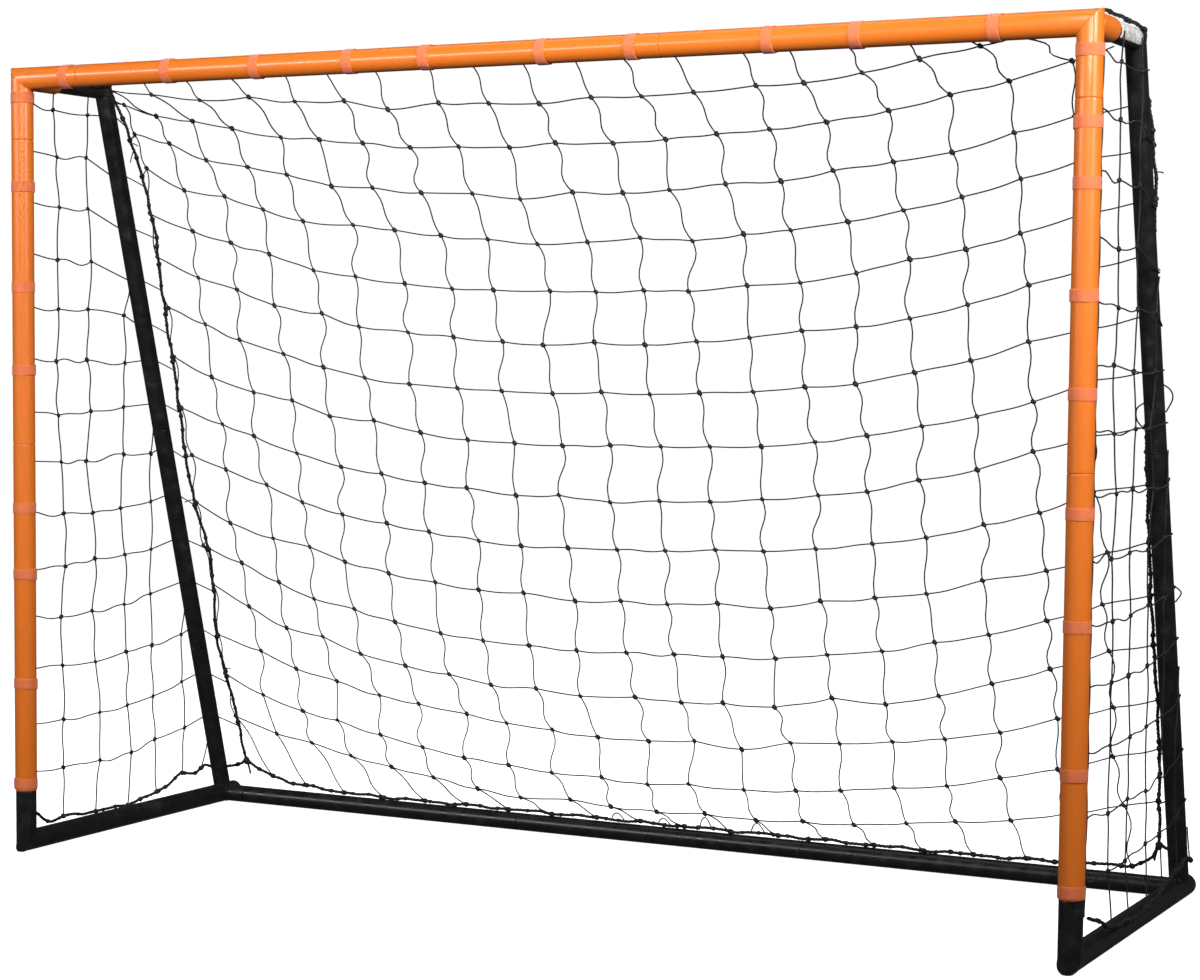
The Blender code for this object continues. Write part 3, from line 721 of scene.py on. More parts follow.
ROPE_STEP = 0.0032  # between rings along the rope
ROPE_LAY = 0.024  # length of one turn of the strands
ROPE_SIDES = 15
ROPE_STRANDS = 3
ROPE_LOBE = 0.14  # how far a strand stands out, as a share of the radius
ROPE_CORE = 0.93  # mean radius of the section, as a share of ROPE_RADIUS
ROPE_TURN = np.array((0.35, 0.2, 0.9))  # any direction that the ropes never run along
ROPE_WAVE = 0.0011
WAVE_LENGTHS = (0.045, 0.078, 0.13)
WAVE_FADE = 0.03  # the bends die out this close to a rope's end

SIDEWAYS = np.array((1.0, 0.0, 0.0))
LENGTHWAYS = np.array((0.0, 1.0, 0.0))
UPWARD = np.array((0.0, 0.0, 1.0))
CURVE_SAMPLES = 24  # between two given points


def smooth_route(points, step):
    """Evenly spaced points along a Catmull-Rom curve through given ones."""
    points = np.array(points, float)
    padded = np.vstack([2 * points[0] - points[1], points, 2 * points[-1] - points[-2]])
    t = np.linspace(0, 1, CURVE_SAMPLES, endpoint=False)[:, None]
    parts = []
    for before, start, end, after in zip(padded, padded[1:], padded[2:], padded[3:]):
        line = 2 * start + (end - before) * t
        square = (2 * before - 5 * start + 4 * end - after) * t**2
        cube = (3 * start - before - 3 * end + after) * t**3
        parts.append(0.5 * (line + square + cube))
    dense = np.vstack([*parts, points[-1:]])
    lengths = np.concatenate([[0], np.cumsum(np.linalg.norm(np.diff(dense, axis=0), axis=1))])
    even = np.linspace(0, lengths[-1], max(int(lengths[-1] / step), 2) + 1)
    return np.column_stack([np.interp(even, lengths, dense[:, axis]) for axis in range(3)])


def ring_quads(first, rings, sides):
    """Quads between neighbouring rings, as tuples of vertex numbers."""
    faces = []
    for ring in range(first, first + (rings - 1) * sides, sides):
        for side in range(sides):
            after = (side + 1) % sides
            faces.append((ring + side, ring + after, ring + sides + after, ring + sides + side))
    return faces


def swept_faces(paths, points, sides, start):
    """Quads along each path and a cap at either end."""
    faces = []
    for path in range(paths):
        base = start + path * points * sides
        faces += ring_quads(base, points, sides)
        last = base + (points - 1) * sides
        faces.append(tuple(range(base + sides - 1, base - 1, -1)))
        faces.append(tuple(range(last, last + sides)))
    return faces


TWINE_RADIUS = 0.00135
EDGE_CORD_RADIUS = 0.0013
TWINE_SMOOTH_ANGLE = 60
KNOT_SIZE = (0.0056, 0.0041, 0.0036)
ROPE_KNOT = (0.0064, 0.0056, 0.0054)
CORNER_KNOT_SIZE = (0.0085, 0.0072, 0.0068)
TIE_SPACING = 0.031  # of the small ties between the net's edge cord and the ropes
TIE_SIZE = (0.0060, 0.0046, 0.0044)
TIE_SCALE = (0.8, 1.15)  # smallest and largest
TIE_SPREAD = (0.6, 1.5)  # smallest and largest share of their spacing
FIRST_TIE = 0.02  # from a rope's end
KNOT_AXES = (UPWARD, SIDEWAYS, LENGTHWAYS)
KNOT_ROWS = 6
KNOT_COLUMNS = 8
KNOT_LUMP = 0.16


class Strands:
    """Collects swept cords and knots, and makes one mesh of them."""

    def __init__(self):
        self.points = []
        self.faces = []
        self.count = 0

    def add(self, points, faces):
        self.points.append(points.reshape(-1, 3))
        self.faces += faces
        self.count += len(self.points[-1])

    def sweep(self, centres, reference, offsets):
        """Rings round many paths at once.

        centres is (paths, points, 3), reference a direction that no path runs along, and
        offsets (points, sides, 2) gives each ring's shape.
        """
        tangents = np.gradient(centres, axis=1)
        tangents /= np.linalg.norm(tangents, axis=2, keepdims=True)
        one = np.cross(tangents, reference)
        one /= np.linalg.norm(one, axis=2, keepdims=True)
        two = np.cross(tangents, one)
        rings = centres[:, :, None] + one[:, :, None] * offsets[None, :, :, :1]
        rings = rings + two[:, :, None] * offsets[None, :, :, 1:]
        self.add(rings, swept_faces(*rings.shape[:3], self.count))

    def cords(self, centres, reference, radius, sides=6):
        """Round cords along paths that all have the same number of points."""
        centres = np.asarray(centres)
        angles = np.array(turn_angles(sides))
        ring = np.column_stack([np.cos(angles), np.sin(angles)]) * radius
        self.sweep(centres, reference, np.repeat(ring[None], centres.shape[1], axis=0))

    def rope(self, route):
        """A three-strand rope, with its strands laid round it."""
        distance = np.arange(len(route)) * ROPE_STEP
        angles = np.array(turn_angles(ROPE_SIDES))
        lobes = 1 + ROPE_LOBE * np.cos(ROPE_STRANDS * angles)
        turn = distance[:, None] * 2 * math.pi / ROPE_LAY + angles[None]
        section = np.stack([np.cos(turn) * lobes, np.sin(turn) * lobes], axis=2)
        self.sweep(route[None], ROPE_TURN, section * ROPE_RADIUS * ROPE_CORE)

    def knot(self, centre, axes, size):
        """A lumpy knot with its long axis along the first of three axes."""
        long, across, out = (axis * length for axis, length in zip(axes, size))
        points = [centre + long]
        for row in range(1, KNOT_ROWS):
            polar = math.pi * row / KNOT_ROWS
            for angle in turn_angles(KNOT_COLUMNS):
                lump = 1 + KNOT_LUMP * math.sin(3 * angle + 5 * polar) * math.sin(polar)
                radial = across * math.cos(angle) + out * math.sin(angle)
                points.append(centre + long * math.cos(polar) + radial * math.sin(polar) * lump)
        points.append(centre - long)
        first = self.count + 1
        tip = self.count + len(points) - 1
        last = tip - KNOT_COLUMNS
        faces = ring_quads(first, KNOT_ROWS - 1, KNOT_COLUMNS)
        for column in range(KNOT_COLUMNS):
            after = (column + 1) % KNOT_COLUMNS
            faces.append((self.count, first + after, first + column))
            faces.append((tip, last + column, last + after))
        self.add(np.array(points), faces)

    def piece(self, name, node):
        mesh = bpy.data.meshes.new(name)
        mesh.from_pydata(np.vstack(self.points), [], self.faces)
        made = finish_object(name, mesh, TWINE, TWINE_SMOOTH_ANGLE)
        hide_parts(node)


def world(side, x, depth, z):
    """A net or rope point, with x as its distance from the middle."""
    return np.array((side * x, FRONT_Y + depth, z))


def wavy(route):
    """Adds the small bends of a rope that knots pull out of line."""
    along = np.arange(len(route)) * ROPE_STEP
    bends = np.zeros_like(route)
    for axis in range(3):
        for length in WAVE_LENGTHS:
            phase = rng.uniform(0, 2 * math.pi)
            size = ROPE_WAVE * length / WAVE_LENGTHS[-1]
            bends[:, axis] += np.sin(along * 2 * math.pi / length + phase) * size
    fade = np.minimum(1, np.minimum(along, along[-1] - along) / WAVE_FADE)
    return route + bends * fade[:, None]


def climb_points(side, climb):
    """Points beside a rear post, from (inside it, behind it, height)."""
    return [world(side, POST_X - inside, rear_post_depth(z) + behind, z) for inside, behind, z in climb]


def rope_routes():
    """The bottom rope from the left foot to the right one, and the two corner ropes."""
    halves = []
    for side, along, rear in (
        (-1, BOTTOM_ROPE_LEFT, REAR_ROPE_LEFT),
        (1, BOTTOM_ROPE_RIGHT, REAR_ROPE_RIGHT),
    ):
        points = [(SIDE_ROPE_X, *point) for point in along]
        points += [*ROPE_ROUND_POST, CORNER_KNOT, *rear, *REAR_ROPE]
        halves.append([world(side, *point) for point in points])
    left, right = halves
    bottom = wavy(smooth_route(left[:-1] + right[::-1], ROPE_STEP))
    corners = {}
    for side, climb in ((-1, LEFT_ROPE_CLIMB), (1, RIGHT_ROPE_CLIMB)):
        points = [world(side, *CORNER_KNOT), *climb_points(side, climb)]
        points += [world(side, *point) for point in CORNER_ROPE_TOP]
        corners[side] = wavy(smooth_route(points, ROPE_STEP))
    return bottom, corners


BOTTOM_ROUTE, CORNER_ROUTES = rope_routes()


def unit(vector):
    return vector / np.linalg.norm(vector)


TAIL_SIDE = np.array((0.3, 0.9, 0.2))  # any direction that no loose end runs along
TAIL_DROP = 0.45  # of a loose end's tip under its own weight, as a share of its length
TAIL_POINTS = 7


def loose_end(strands, start, direction, length, radius):
    """A loose end of twine that bends down."""
    share = np.linspace(0, 1, TAIL_POINTS)[:, None]
    path = start + np.asarray(direction) * length * share - UPWARD * TAIL_DROP * length * share**2
    strands.cords(path[None], TAIL_SIDE, radius, sides=5)


def nearest(route, target):
    """The route's point nearest to a target."""
    return route[np.argmin(np.linalg.norm(route - target, axis=1))]


def corner_rope_at(side, z):
    """The corner rope's point at a height, below its bend."""
    route = CORNER_ROUTES[side]
    climbing = route[route[:, 1] > FRONT_Y + TOP_DEPTH - 0.01]
    return climbing[np.argmin(np.abs(climbing[:, 2] - z))]


# ---- Net ----
MESH = 0.098  # side of one mesh
# Knots of one column in the middle of the back panel, from the top: (depth, height).
BACK_COLUMN = (
    (0.040, 1.402), (0.110, 1.329), (0.160, 1.247), (0.230, 1.167), (0.255, 1.077),
    (0.270, 0.984), (0.290, 0.892), (0.325, 0.798), (0.340, 0.700), (0.360, 0.606),
    (0.380, 0.507), (0.400, 0.410), (0.430, 0.320), (0.490, 0.240), (0.500, 0.155),
    (0.560, 0.090),
)
# Heights where the rows from the third down are tied to the corner ropes.
EDGE_ROW_HEIGHTS = (
    1.385, 1.315, 1.230, 1.140, 1.040, 0.945, 0.848,
    0.750, 0.647, 0.552, 0.463, 0.364, 0.275, 0.175,
)
MIDDLE_COLUMN_X = -0.042
BACK_COLUMNS_X = tuple(MIDDLE_COLUMN_X + MESH * step for step in range(-9, 11))
SHORT_COLUMN_X = 0.895  # columns further out than this start at the second row
BACK_HALF_WIDTH = 0.990  # no column's top end lies further left than this
# On each side, how sharply the rows bend back and leave their middle height, how far from
# the corner rope they aim, and how far the columns are stretched outward.
DEPTH_PULL = {-1: 2.6, 1: 2.4}
HEIGHT_PULL = {-1: 2.1, 1: 2.6}
ROW_AIM = {-1: np.array((0.0, -0.056, 0.035)), 1: np.array((0.0, -0.088, 0.011))}
STRETCH = {-1: 1.022, 1: 1.008}
BAR_CORD = (0.0157, CROSSBAR_Z - 0.0162)  # depth and height of the edge cord on the crossbar
BAR_CORD_RISE = 0.0006  # of its highest points over that height
CORD_SLACK = 0.0016  # of the edge cord on the crossbar, between meshes
TOP_ROW_END = (0.900, *BAR_CORD)
SECOND_ROW_END = (1.004, 0.225, CROSSBAR_Z - 0.012)
BAR_CORD_REACH = 0.985  # of the edge cord, either way along the crossbar
BAR_CORD_POINTS = 160
TOP_OFFSET = 0.021  # the columns' top ends lie this far to the left of their first knots
TOP_SPREAD = 0.006
FOOT_OFFSET = 0.004  # the knots on the rope lie this far to the right of their columns
FOOT_AIM = (0.68, 0.045)  # depth and height; each of those knots is on the rope nearest to it
KNOT_SPREAD = np.array((0.004, 0.003, 0.0035))
KNOT_SLANT = (0.70, 0.22)  # mean and spread, in radians
KNOT_SCALE = (0.88, 1.15)  # smallest and largest
CORD_POINTS = 9

# Random bends of the net's cords, as shares of their length: the S-bend's mean and spread, the
# spread of the bow and of the bow in depth, and the largest sag. A spread of 0 takes no draw.
BACK_UPRIGHT = (0.046, 0.016, 0.020, 0.020, 0.0)
BACK_FOOT = (0.030, 0.016, 0.020, 0.020, 0.0)
SIDE_UPRIGHT = (0.0, 0.016, 0.020, 0.020, 0.0)
BACK_LEVEL = (0.0, 0.008, 0.0, 0.008, 0.030)
SIDE_LEVEL = (0.0, 0.020, 0.012, 0.0, 0.040)


def back_edge_points(side):
    """Where each row of the back panel ends on one side."""
    ends = [world(side, *TOP_ROW_END), world(side, *SECOND_ROW_END)]
    return ends + [corner_rope_at(side, z) for z in EDGE_ROW_HEIGHTS]


def back_knots():
    """Knot positions as rows of (columns, 3), with small differences from knot to knot."""
    ends = {side: back_edge_points(side) for side in (-1, 1)}
    rows = []
    for row, (depth, z) in enumerate(BACK_COLUMN):
        line = []
        for x in BACK_COLUMNS_X:
            side = -1 if x < 0 else 1
            aim = ends[side][row]
            if row > 1:
                aim = aim + ROW_AIM[side]
            share = min(abs(x) / abs(aim[0]), 1.0)
            pull = np.array((0.0, share ** DEPTH_PULL[side], share ** HEIGHT_PULL[side]))
            middle = np.array((x * STRETCH[side], FRONT_Y + depth, z))
            line.append(middle + (aim - middle) * pull + rng.normal(0, 1, 3) * KNOT_SPREAD)
        rows.append(np.array(line))
    return rows, ends


def slack_cord(start, end, sway, bends):
    """A cord that sways along one axis: a little longer than the gap that it spans."""
    mean_swing, swing_spread, bow_spread, depth_spread, largest_sag = bends
    swing = rng.normal(mean_swing, swing_spread)
    bow = rng.normal(0.0, bow_spread) if bow_spread else 0.0
    depth_bow = rng.normal(0.0, depth_spread) if depth_spread else 0.0
    sag = rng.uniform(0.0, largest_sag) if largest_sag else 0.0
    t = np.linspace(0, 1, CORD_POINTS)[:, None]
    arch = sway * bow + LENGTHWAYS * depth_bow - UPWARD * sag
    offset = sway * swing * np.sin(2 * np.pi * t) + arch * np.sin(np.pi * t)
    return start + (end - start) * t + offset * np.linalg.norm(end - start)


def cords_along(points, sway, bends):
    """Slack cords between neighbouring points."""
    return [slack_cord(one, other, sway, bends) for one, other in zip(points, points[1:])]


def net_knot(strands, centre, panel_axis, lean=1.0):
    """A knot whose long axis slants down the panel."""
    angle = rng.normal(*KNOT_SLANT) * lean
    long_axis = unit(panel_axis * math.cos(angle) - UPWARD * math.sin(angle))
    out = unit(np.cross(panel_axis, -UPWARD))
    size = np.array(KNOT_SIZE) * rng.uniform(*KNOT_SCALE)
    strands.knot(centre, (long_axis, np.cross(out, long_axis), out), size)


def build_back_net():
    rows, ends = back_knots()
    strands = Strands()
    uprights, levels = [], []
    for column, x in enumerate(BACK_COLUMNS_X):
        first = 1 if abs(x) > SHORT_COLUMN_X else 0
        top_x = rows[first][column][0] - TOP_OFFSET + rng.normal(0, TOP_SPREAD)
        top = np.array((max(top_x, -BACK_HALF_WIDTH), FRONT_Y + BAR_CORD[0], BAR_CORD[1]))
        knots = [top] + [row[column] for row in rows[first:]]
        foot = nearest(BOTTOM_ROUTE, world(1, x + FOOT_OFFSET, *FOOT_AIM))
        uprights += cords_along(knots, SIDEWAYS, BACK_UPRIGHT)
        uprights += cords_along([knots[-1], foot], SIDEWAYS, BACK_FOOT)
        strands.knot(foot, (SIDEWAYS, LENGTHWAYS, UPWARD), ROPE_KNOT)
        for knot in knots[1:]:
            net_knot(strands, knot, SIDEWAYS)
    for row, line in enumerate(rows):
        inner = line[1:-1] if row == 0 else line
        levels += cords_along([ends[-1][row], *inner, ends[1][row]], UPWARD, BACK_LEVEL)
        if row > 1:
            for side in (-1, 1):
                strands.knot(ends[side][row], KNOT_AXES, ROPE_KNOT)
    strands.cords(uprights, LENGTHWAYS, TWINE_RADIUS)
    strands.cords(levels, UPWARD, TWINE_RADIUS)
    add_bar_cord(strands)
    strands.piece("net_back_twine", "net_back_panel")


def add_bar_cord(strands):
    """The net's edge cord along the crossbar, held under the straps."""
    along = np.linspace(-BAR_CORD_REACH, BAR_CORD_REACH, BAR_CORD_POINTS)
    slack = CORD_SLACK * np.abs(np.sin(along * math.pi / MESH))
    depths = np.full_like(along, FRONT_Y + BAR_CORD[0])
    route = np.column_stack([along, depths, BAR_CORD[1] - slack + BAR_CORD_RISE])
    strands.cords(route[None], LENGTHWAYS, EDGE_CORD_RADIUS, sides=7)


# Heights of the side panels' rows at the front post and at the rear post.
FRONT_ROW_HEIGHTS = (
    1.436, 1.346, 1.249, 1.149, 1.050, 0.949, 0.849,
    0.749, 0.648, 0.547, 0.447, 0.345, 0.239, 0.142,
)
REAR_ROW_HEIGHTS = (
    1.432, 1.316, 1.211, 1.108, 1.021, 0.946, 0.857,
    0.762, 0.666, 0.572, 0.481, 0.379, 0.281, 0.187,
)
SIDE_COLUMN_TOPS = (0.134, 0.226, 0.345, 0.432, 0.530, 0.618)  # depths
SIDE_COLUMN_FEET = (0.150, 0.255, 0.360, 0.460, 0.557, 0.636)
SIDE_TOP_Z = 1.43  # height of the columns' tops
SIDE_HEIGHT = 1.38  # from there down to their feet
COLUMN_LEAN = 0.6  # power of the drop: the columns lean back more near the top
COLUMN_BOW = 0.006
BOW_WAVE = (4.6, 0.7)  # radians for each metre of height and from column to column
SIDE_X = {-1: 1.0572, 1: 1.0400}  # the right panel hangs a little further in
SIDE_X_REAR = 1.0510
SIDE_DEPTH_SPREAD = 0.005
SIDE_Z_SPREAD = 0.003
SIDE_X_SPREAD = 0.0012
SIDE_GAP = 0.010  # the least from a row's last knot to the rear post's centre line
ROW_DROP = 0.004  # of a row's knots below its end on the front post
ROW_TURN = {True: 14.0, False: 3.2}  # how sharply a row that falls or rises turns at its end
ANCHOR_DROP = 0.020  # from a row's rear end down to its tie on the corner rope
POST_CORD = 0.016272  # outward and back from the post's centre line to the edge cord
POST_CORD_ENDS = (0.088, 1.452)
POST_CORD_POINTS = 120
POST_CORD_SLACK = 0.0012
WRAP_RADIUS = REAR_RADIUS + 0.0016
WRAP_ANGLES = (10, 40, 70, 95)  # degrees back from the outer side of the rear post
WRAP_STEP = 0.004
TOP_END_STEP = 0.004  # of a column's top end in front of its top knot
TIED_RISE = 0.6 * MESH  # of a column's end on the rear post above its top knot
TIED_DEPTH = 0.002  # of that end behind the post's centre line
SIDE_FOOT_Z = 0.05  # near the height of the bottom rope


def column_depth(column, z):
    """Depth of a side panel's column, which leans back and bows a little on its way down."""
    share = max((SIDE_TOP_Z - z) / SIDE_HEIGHT, 0.0)
    top, foot = SIDE_COLUMN_TOPS[column], SIDE_COLUMN_FEET[column]
    bow = COLUMN_BOW * math.sin(BOW_WAVE[0] * z + BOW_WAVE[1] * column)
    return top + (foot - top) * share**COLUMN_LEAN + bow


def wrap_cord(side, start, z, anchor):
    """A row's last cord: back to the rear post, round behind it and on to the corner rope."""
    points = [start]
    for degrees in WRAP_ANGLES:
        angle = math.radians(degrees)
        depth = rear_post_depth(z) + WRAP_RADIUS * math.sin(angle)
        points.append(world(side, POST_X + WRAP_RADIUS * math.cos(angle), depth, z))
    route = smooth_route([*points, anchor], WRAP_STEP)
    return route[np.linspace(0, len(route) - 1, CORD_POINTS * 2 - 1).round().astype(int)]


def side_row(strands, side, front_z, rear_z):
    """Ties the knots of one row of a side panel and returns them from the front.

    The row runs level from the front post and turns to its rear height near the end. It hangs
    outside the straps in front and on the post behind.
    """
    rear = rear_post_depth(rear_z)
    line = []
    for column in range(len(SIDE_COLUMN_TOPS)):
        depth = column_depth(column, front_z) + rng.normal(0, SIDE_DEPTH_SPREAD)
        if depth > rear - SIDE_GAP:
            break
        share = depth / rear
        turn = (rear_z - front_z) * share ** ROW_TURN[rear_z < front_z]
        z = front_z + turn - ROW_DROP + rng.normal(0, SIDE_Z_SPREAD)
        x = SIDE_X[side] + (SIDE_X_REAR - SIDE_X[side]) * share + rng.normal(0, SIDE_X_SPREAD)
        line.append(world(side, x, depth, z))
        net_knot(strands, line[-1], -LENGTHWAYS, rng.choice((-1.0, 1.0)))
    return line


def side_column_top(side, knot, in_first_row):
    """Where a column ends above its top knot: at the tube over the panel or at the rear post."""
    if in_first_row:
        return np.array((side * (POST_X + WRAP_RADIUS), knot[1] - TOP_END_STEP, CROSSBAR_Z))
    z = knot[2] + TIED_RISE
    return world(side, POST_X + WRAP_RADIUS, rear_post_depth(z) + TIED_DEPTH, z)


def build_side_net(side, label):
    strands = Strands()
    rows, uprights, levels, wraps = [], [], [], []
    for front_z, rear_z in zip(FRONT_ROW_HEIGHTS, REAR_ROW_HEIGHTS):
        rows.append(side_row(strands, side, front_z, rear_z))
        route = [world(side, POST_X + POST_CORD, POST_CORD, front_z + ROW_DROP), *rows[-1]]
        levels += cords_along(route, UPWARD, SIDE_LEVEL)
        wraps.append(wrap_cord(side, route[-1], rear_z, corner_rope_at(side, rear_z - ANCHOR_DROP)))
    for column, foot_depth in enumerate(SIDE_COLUMN_FEET):
        knots = [line[column] for line in rows if len(line) > column]
        foot = nearest(BOTTOM_ROUTE, world(side, SIDE_ROPE_X, foot_depth, SIDE_FOOT_Z))
        strands.knot(foot, (LENGTHWAYS, SIDEWAYS, UPWARD), ROPE_KNOT)
        knots.append(foot)
        top = side_column_top(side, knots[0], len(rows[0]) > column)
        uprights += cords_along(knots, LENGTHWAYS, SIDE_UPRIGHT)
        uprights += cords_along([top, knots[0]], LENGTHWAYS, SIDE_UPRIGHT)
    strands.cords(uprights, SIDEWAYS, TWINE_RADIUS)
    strands.cords(levels, UPWARD, TWINE_RADIUS)
    strands.cords(wraps, UPWARD, TWINE_RADIUS)
    add_post_cord(strands, side)
    strands.piece("net_side_twine_" + label, "net_side_panel_" + label)


def add_post_cord(strands, side):
    """The net's edge cord behind a front post, held under the straps."""
    heights = np.linspace(*POST_CORD_ENDS, POST_CORD_POINTS)
    out = POST_CORD + POST_CORD_SLACK * np.abs(np.sin(heights * math.pi / MESH))
    route = np.column_stack([side * (POST_X + out), FRONT_Y + out, heights])
    strands.cords(route[None], LENGTHWAYS, EDGE_CORD_RADIUS, sides=7)


KNOT_TAIL = (0.030, 0.0022)  # length and radius of the loose ends at the corner knots
KNOT_TAIL_WAY = (-0.3, 0.1, -0.5)  # (outward, back, up)
ROPE_TAIL_RADIUS = 0.0012
ROPE_TAILS = (  # (side, height on the corner rope, direction, length)
    (-1, 1.385, (0.75, 0.1, 0.75), 0.022),
    (-1, 1.380, (0.9, 0.1, 0.1), 0.016),
    (-1, 1.365, (-0.5, 0.2, -0.6), 0.020),
    (-1, 0.655, (-0.8, -0.3, 0.2), 0.020),
    (-1, 0.568, (-0.7, 0.0, -0.2), 0.014),
    (-1, 0.290, (0.6, 0.1, 0.5), 0.016),
    (1, 1.270, (0.7, 0.1, 0.3), 0.014),
    (1, 1.120, (0.8, 0.2, -0.2), 0.012),
    (1, 0.820, (0.9, 0.1, -0.3), 0.022),
    (1, 0.560, (0.9, 0.0, -0.5), 0.020),
)

# Slack twine that stands off the right rear post, each loop as (inside, behind, height) points.
LOOSE_LOOPS = (
    ((-0.0180, 0.002, 0.921), (-0.0255, 0.014, 0.912), (-0.0270, 0.017, 0.897), (-0.0180, 0.004, 0.875)),
    ((0.0220, 0.033, 0.892), (0.0380, 0.030, 0.880), (0.0390, 0.030, 0.860), (0.0280, 0.033, 0.845)),
    ((-0.0180, 0.002, 0.575), (-0.0260, 0.014, 0.562), (-0.0180, 0.003, 0.546)),
)
# Slack twine that stands up from the bottom rope: (start, end) across the goal and height.
ROPE_ARCHES = (
    (-0.100, -0.070, 0.014),
    (0.005, 0.032, 0.012),
    (0.090, 0.116, 0.020),
    (0.200, 0.227, 0.018),
)
ARCH_AIM = (0.675, 0.045)  # depth and height; an arch's ends are on the rope nearest to it
ARCH_SHOULDER = (0.15, 0.75)  # shares of its span and its height
SLACK_STEP = 0.003


def add_slack_twine(strands):
    """Loops of twine off the right rear post, and small arches on the bottom rope."""
    routes = [climb_points(1, loop) for loop in LOOSE_LOOPS]
    for start_x, end_x, height in ROPE_ARCHES:
        start, end = (nearest(BOTTOM_ROUTE, world(1, x, *ARCH_AIM)) for x in (start_x, end_x))
        rise = UPWARD * height
        shoulder = start + ARCH_SHOULDER[0] * (end - start) + rise * ARCH_SHOULDER[1]
        routes.append([start, shoulder, (start + end) / 2 + rise, end])
    for points in routes:
        strands.cords(smooth_route(points, SLACK_STEP)[None], LENGTHWAYS, TWINE_RADIUS)


def add_ties(strands, route):
    """Small uneven ties along a rope."""
    distance = FIRST_TIE
    length = (len(route) - 3) * ROPE_STEP  # the last tie needs a point on either side
    while distance < length:
        index = int(distance / ROPE_STEP)
        along = unit(route[index + 1] - route[index - 1])
        across = unit(np.cross(along, rng.normal(0, 1, 3)))
        size = np.array(TIE_SIZE) * rng.uniform(*TIE_SCALE)
        strands.knot(route[index], (along, across, np.cross(along, across)), size)
        distance += TIE_SPACING * rng.uniform(*TIE_SPREAD)


def build_rope():
    strands = Strands()
    for route in (BOTTOM_ROUTE, CORNER_ROUTES[-1], CORNER_ROUTES[1]):
        strands.rope(route)
        add_ties(strands, route)
    for side in (-1, 1):
        knot = world(side, *CORNER_KNOT)
        strands.knot(knot, KNOT_AXES, CORNER_KNOT_SIZE)
        loose_end(strands, knot, KNOT_TAIL_WAY * np.array((side, 1, 1)), *KNOT_TAIL)
    for side, z, direction, length in ROPE_TAILS:
        loose_end(strands, corner_rope_at(side, z), unit(np.array(direction)), length, ROPE_TAIL_RADIUS)
    add_slack_twine(strands)
    strands.piece("net_edge_rope", "net_border_rope")


# ---- Label on the right rear post ----
LABEL_START, LABEL_LENGTH = 0.114, 0.124  # depth of its front edge, and its length
LABEL_ANGLE, LABEL_SPAN = -42, 146  # degrees up from the outer side, and the wrap from there
LABEL_ROWS, LABEL_COLUMNS = 12, 24
LABEL_GAP = 0.00025
LABEL_RIPPLE = 0.012  # as a share of the radius
LABEL_WAVE = (1.7, 0.9)  # of the ripple: radians from column to column and from row to row
LABEL_THICKNESS = 0.0002


def build_label():
    """A blank label wrapped over the top tube, just in front of the bend."""
    bm = bmesh.new()
    rows = []
    for row in range(LABEL_ROWS + 1):
        depth = LABEL_START + LABEL_LENGTH * row / LABEL_ROWS
        line = []
        for column in range(LABEL_COLUMNS + 1):
            angle = math.radians(LABEL_ANGLE + LABEL_SPAN * column / LABEL_COLUMNS)
            ripple = 1 + LABEL_RIPPLE * math.sin(column * LABEL_WAVE[0] + row * LABEL_WAVE[1])
            out = (REAR_RADIUS + LABEL_GAP) * ripple
            x = POST_X + out * math.cos(angle)
            line.append(bm.verts.new(place(x, depth, CROSSBAR_Z + out * math.sin(angle))))
        rows.append(line)
    add_sheet(bm, rows)
    piece = finish_object("blank_label", mesh_from_bmesh("blank_label", bm), LABEL)
    solid = piece.modifiers.new("thickness", "SOLIDIFY")
    solid.thickness = LABEL_THICKNESS
    solid.offset = 1.0


# ---- Assembly ----
for side, label in LEFT_AND_RIGHT:
    build_posts(side, label)
    build_top_corner(side, label)
    build_side_base(side, label)
    build_rear(side, label)
    build_plug(side, label)
build_crossbar()
build_middle_tube("rear_bar", BASE_DEPTH, BASE_Z, REAR_RADIUS, BLACK)
build_straps()
build_rope()
build_back_net()
for side, label in LEFT_AND_RIGHT:
    build_side_net(side, label)
build_label()

for name, node in frame["nodes"].items():
    if name.startswith("snap_button"):
        for slot in node.material_slots:
            slot.material = ZINC


# ---- Camera ----
EYE = place(2.23322, -4.12864, 0.97276)
YAW, PITCH, ROLL = 0.49881, -0.07179, 0.00653
LENS = 81.23
SENSOR = 36.0
SHIFT_X, SHIFT_Y = 0.0929, 0.0454


def build_camera():
    data = bpy.data.cameras.new("camera")
    data.lens = LENS
    data.sensor_width = SENSOR
    data.sensor_fit = "HORIZONTAL"
    data.shift_x = SHIFT_X
    data.shift_y = SHIFT_Y
    camera = add_object("camera", data)
    right = Vector((math.cos(YAW), math.sin(YAW), 0))
    ahead = Vector((-math.sin(YAW) * math.cos(PITCH), math.cos(YAW) * math.cos(PITCH), math.sin(PITCH)))
    up = right.cross(ahead)
    rolled_right = right * math.cos(ROLL) + up * math.sin(ROLL)
    rolled_up = up * math.cos(ROLL) - right * math.sin(ROLL)
    turn = Matrix((rolled_right, rolled_up, -ahead)).transposed()
    camera.matrix_world = Matrix.Translation(EYE) @ turn.to_4x4()
    bpy.context.scene.camera = camera


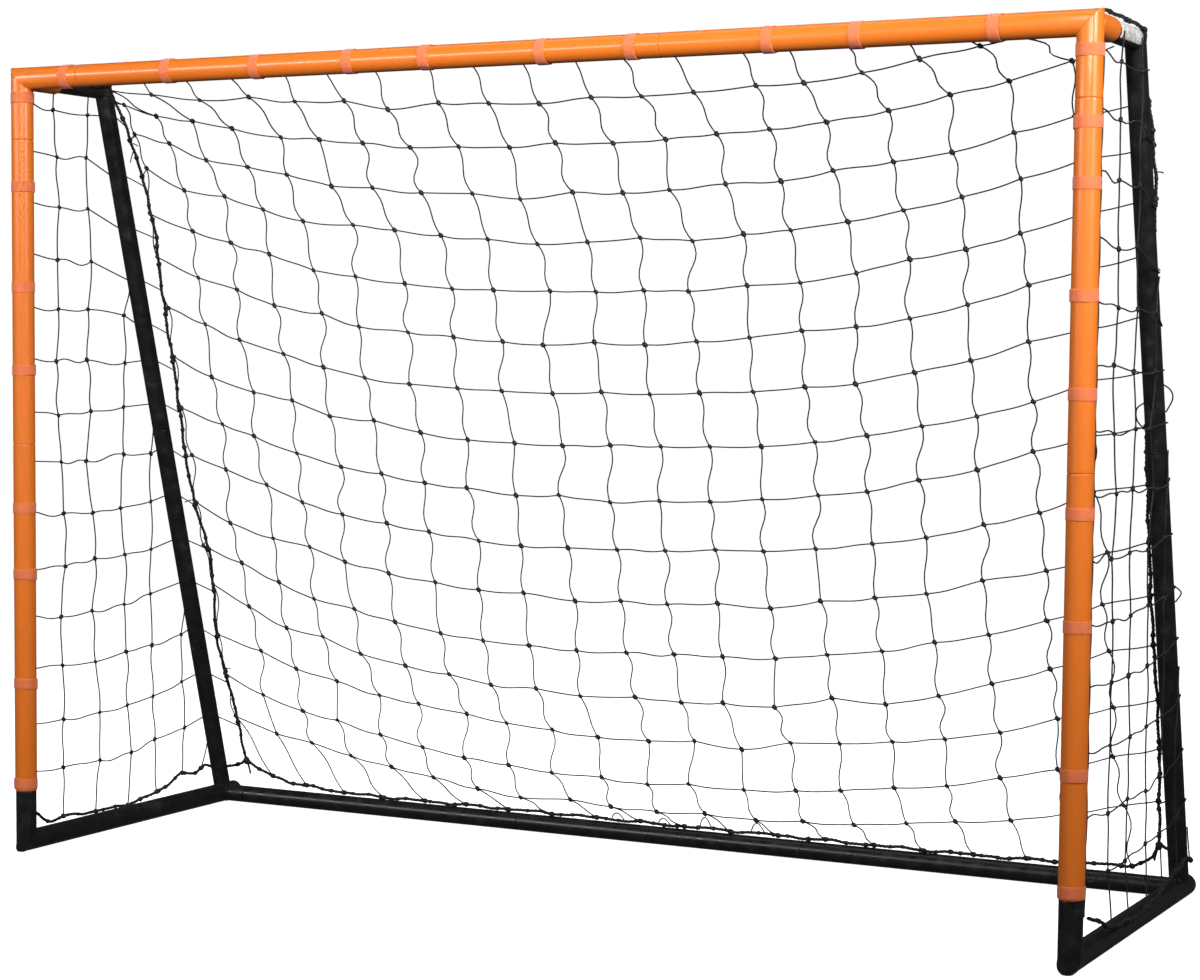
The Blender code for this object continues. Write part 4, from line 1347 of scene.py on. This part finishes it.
# ---- Studio ----
FLOOR_HALF_WIDTH = 30.0
FLOOR_FRONT_Y = -30.0
FLOOR_CURVE_Y = 12.0  # where it starts to curve up
FLOOR_CURVE = 6.0  # radius
FLOOR_CURVE_STEPS = 12
FLOOR_TOP_Z = 25.0
AIR_STRENGTH = 0.05
LIGHTS = (  # (name, position, target, size, watts, spread): high, so that they fade downward
    ("main_box", (1.2, -3.2, 2.5), (-0.1, -0.3, 1.5), (2.4, 0.9), 19, 64),
    ("right_box", (3.2, -1.4, 2.3), (1.0, -0.35, 1.6), (0.8, 1.1), 22, 90),
    ("left_strip", (-3.2, -4.4, 2.25), (-0.6, -0.3, 1.4), (3.2, 0.22), 46, 120),
    ("top_box", (0.0, 0.3, 4.3), (0.0, 0.0, 0.0), (4.0, 0.5), 16, 180),
)


def build_floor():
    """A pale floor that curves up far behind the goal, and throws no light back on it."""
    paper = Shader(
        "studio_paper",
        Base_Color=(0.93, 0.93, 0.93, 1),
        Roughness=0.9,
        Specular_IOR_Level=0.0,
        Emission_Color=(1, 1, 1, 1),
        Emission_Strength=0.96,
    )
    profile = [(FLOOR_FRONT_Y, 0.0)]
    for step in range(FLOOR_CURVE_STEPS + 1):
        angle = math.radians(90 * step / FLOOR_CURVE_STEPS)
        rise = FLOOR_CURVE * (1 - math.cos(angle))
        profile.append((FLOOR_CURVE_Y + FLOOR_CURVE * math.sin(angle), rise))
    profile.append((FLOOR_CURVE_Y + FLOOR_CURVE, FLOOR_TOP_Z))
    bm = bmesh.new()
    sides = (-FLOOR_HALF_WIDTH, FLOOR_HALF_WIDTH)
    add_sheet(bm, [[bm.verts.new((x, y, z)) for y, z in profile] for x in sides])
    mesh = mesh_from_bmesh("studio_floor", bm)
    mesh.shade_smooth()
    mesh.materials.append(paper.material)
    floor = add_object("studio_floor", mesh)
    floor.visible_diffuse = False
    floor.visible_glossy = False


def area_light(name, position, target, size, watts, spread):
    data = bpy.data.lights.new(name, "AREA")
    data.shape = "RECTANGLE"
    data.size, data.size_y = size
    data.energy = watts
    data.spread = math.radians(spread)
    turn = (Vector(target) - Vector(position)).to_track_quat("-Z", "Y")
    add_object(name, data).matrix_world = Matrix.LocRotScale(position, turn, None)


def build_lights():
    for light in LIGHTS:
        area_light(*light)
    air = bpy.data.worlds.new("studio_air")
    air.use_nodes = True
    air.node_tree.nodes["Background"].inputs["Color"].default_value = (1, 1, 1, 1)
    air.node_tree.nodes["Background"].inputs["Strength"].default_value = AIR_STRENGTH
    bpy.context.scene.world = air
    bpy.context.scene.view_settings.view_transform = "Standard"


build_camera()
build_floor()
build_lights()
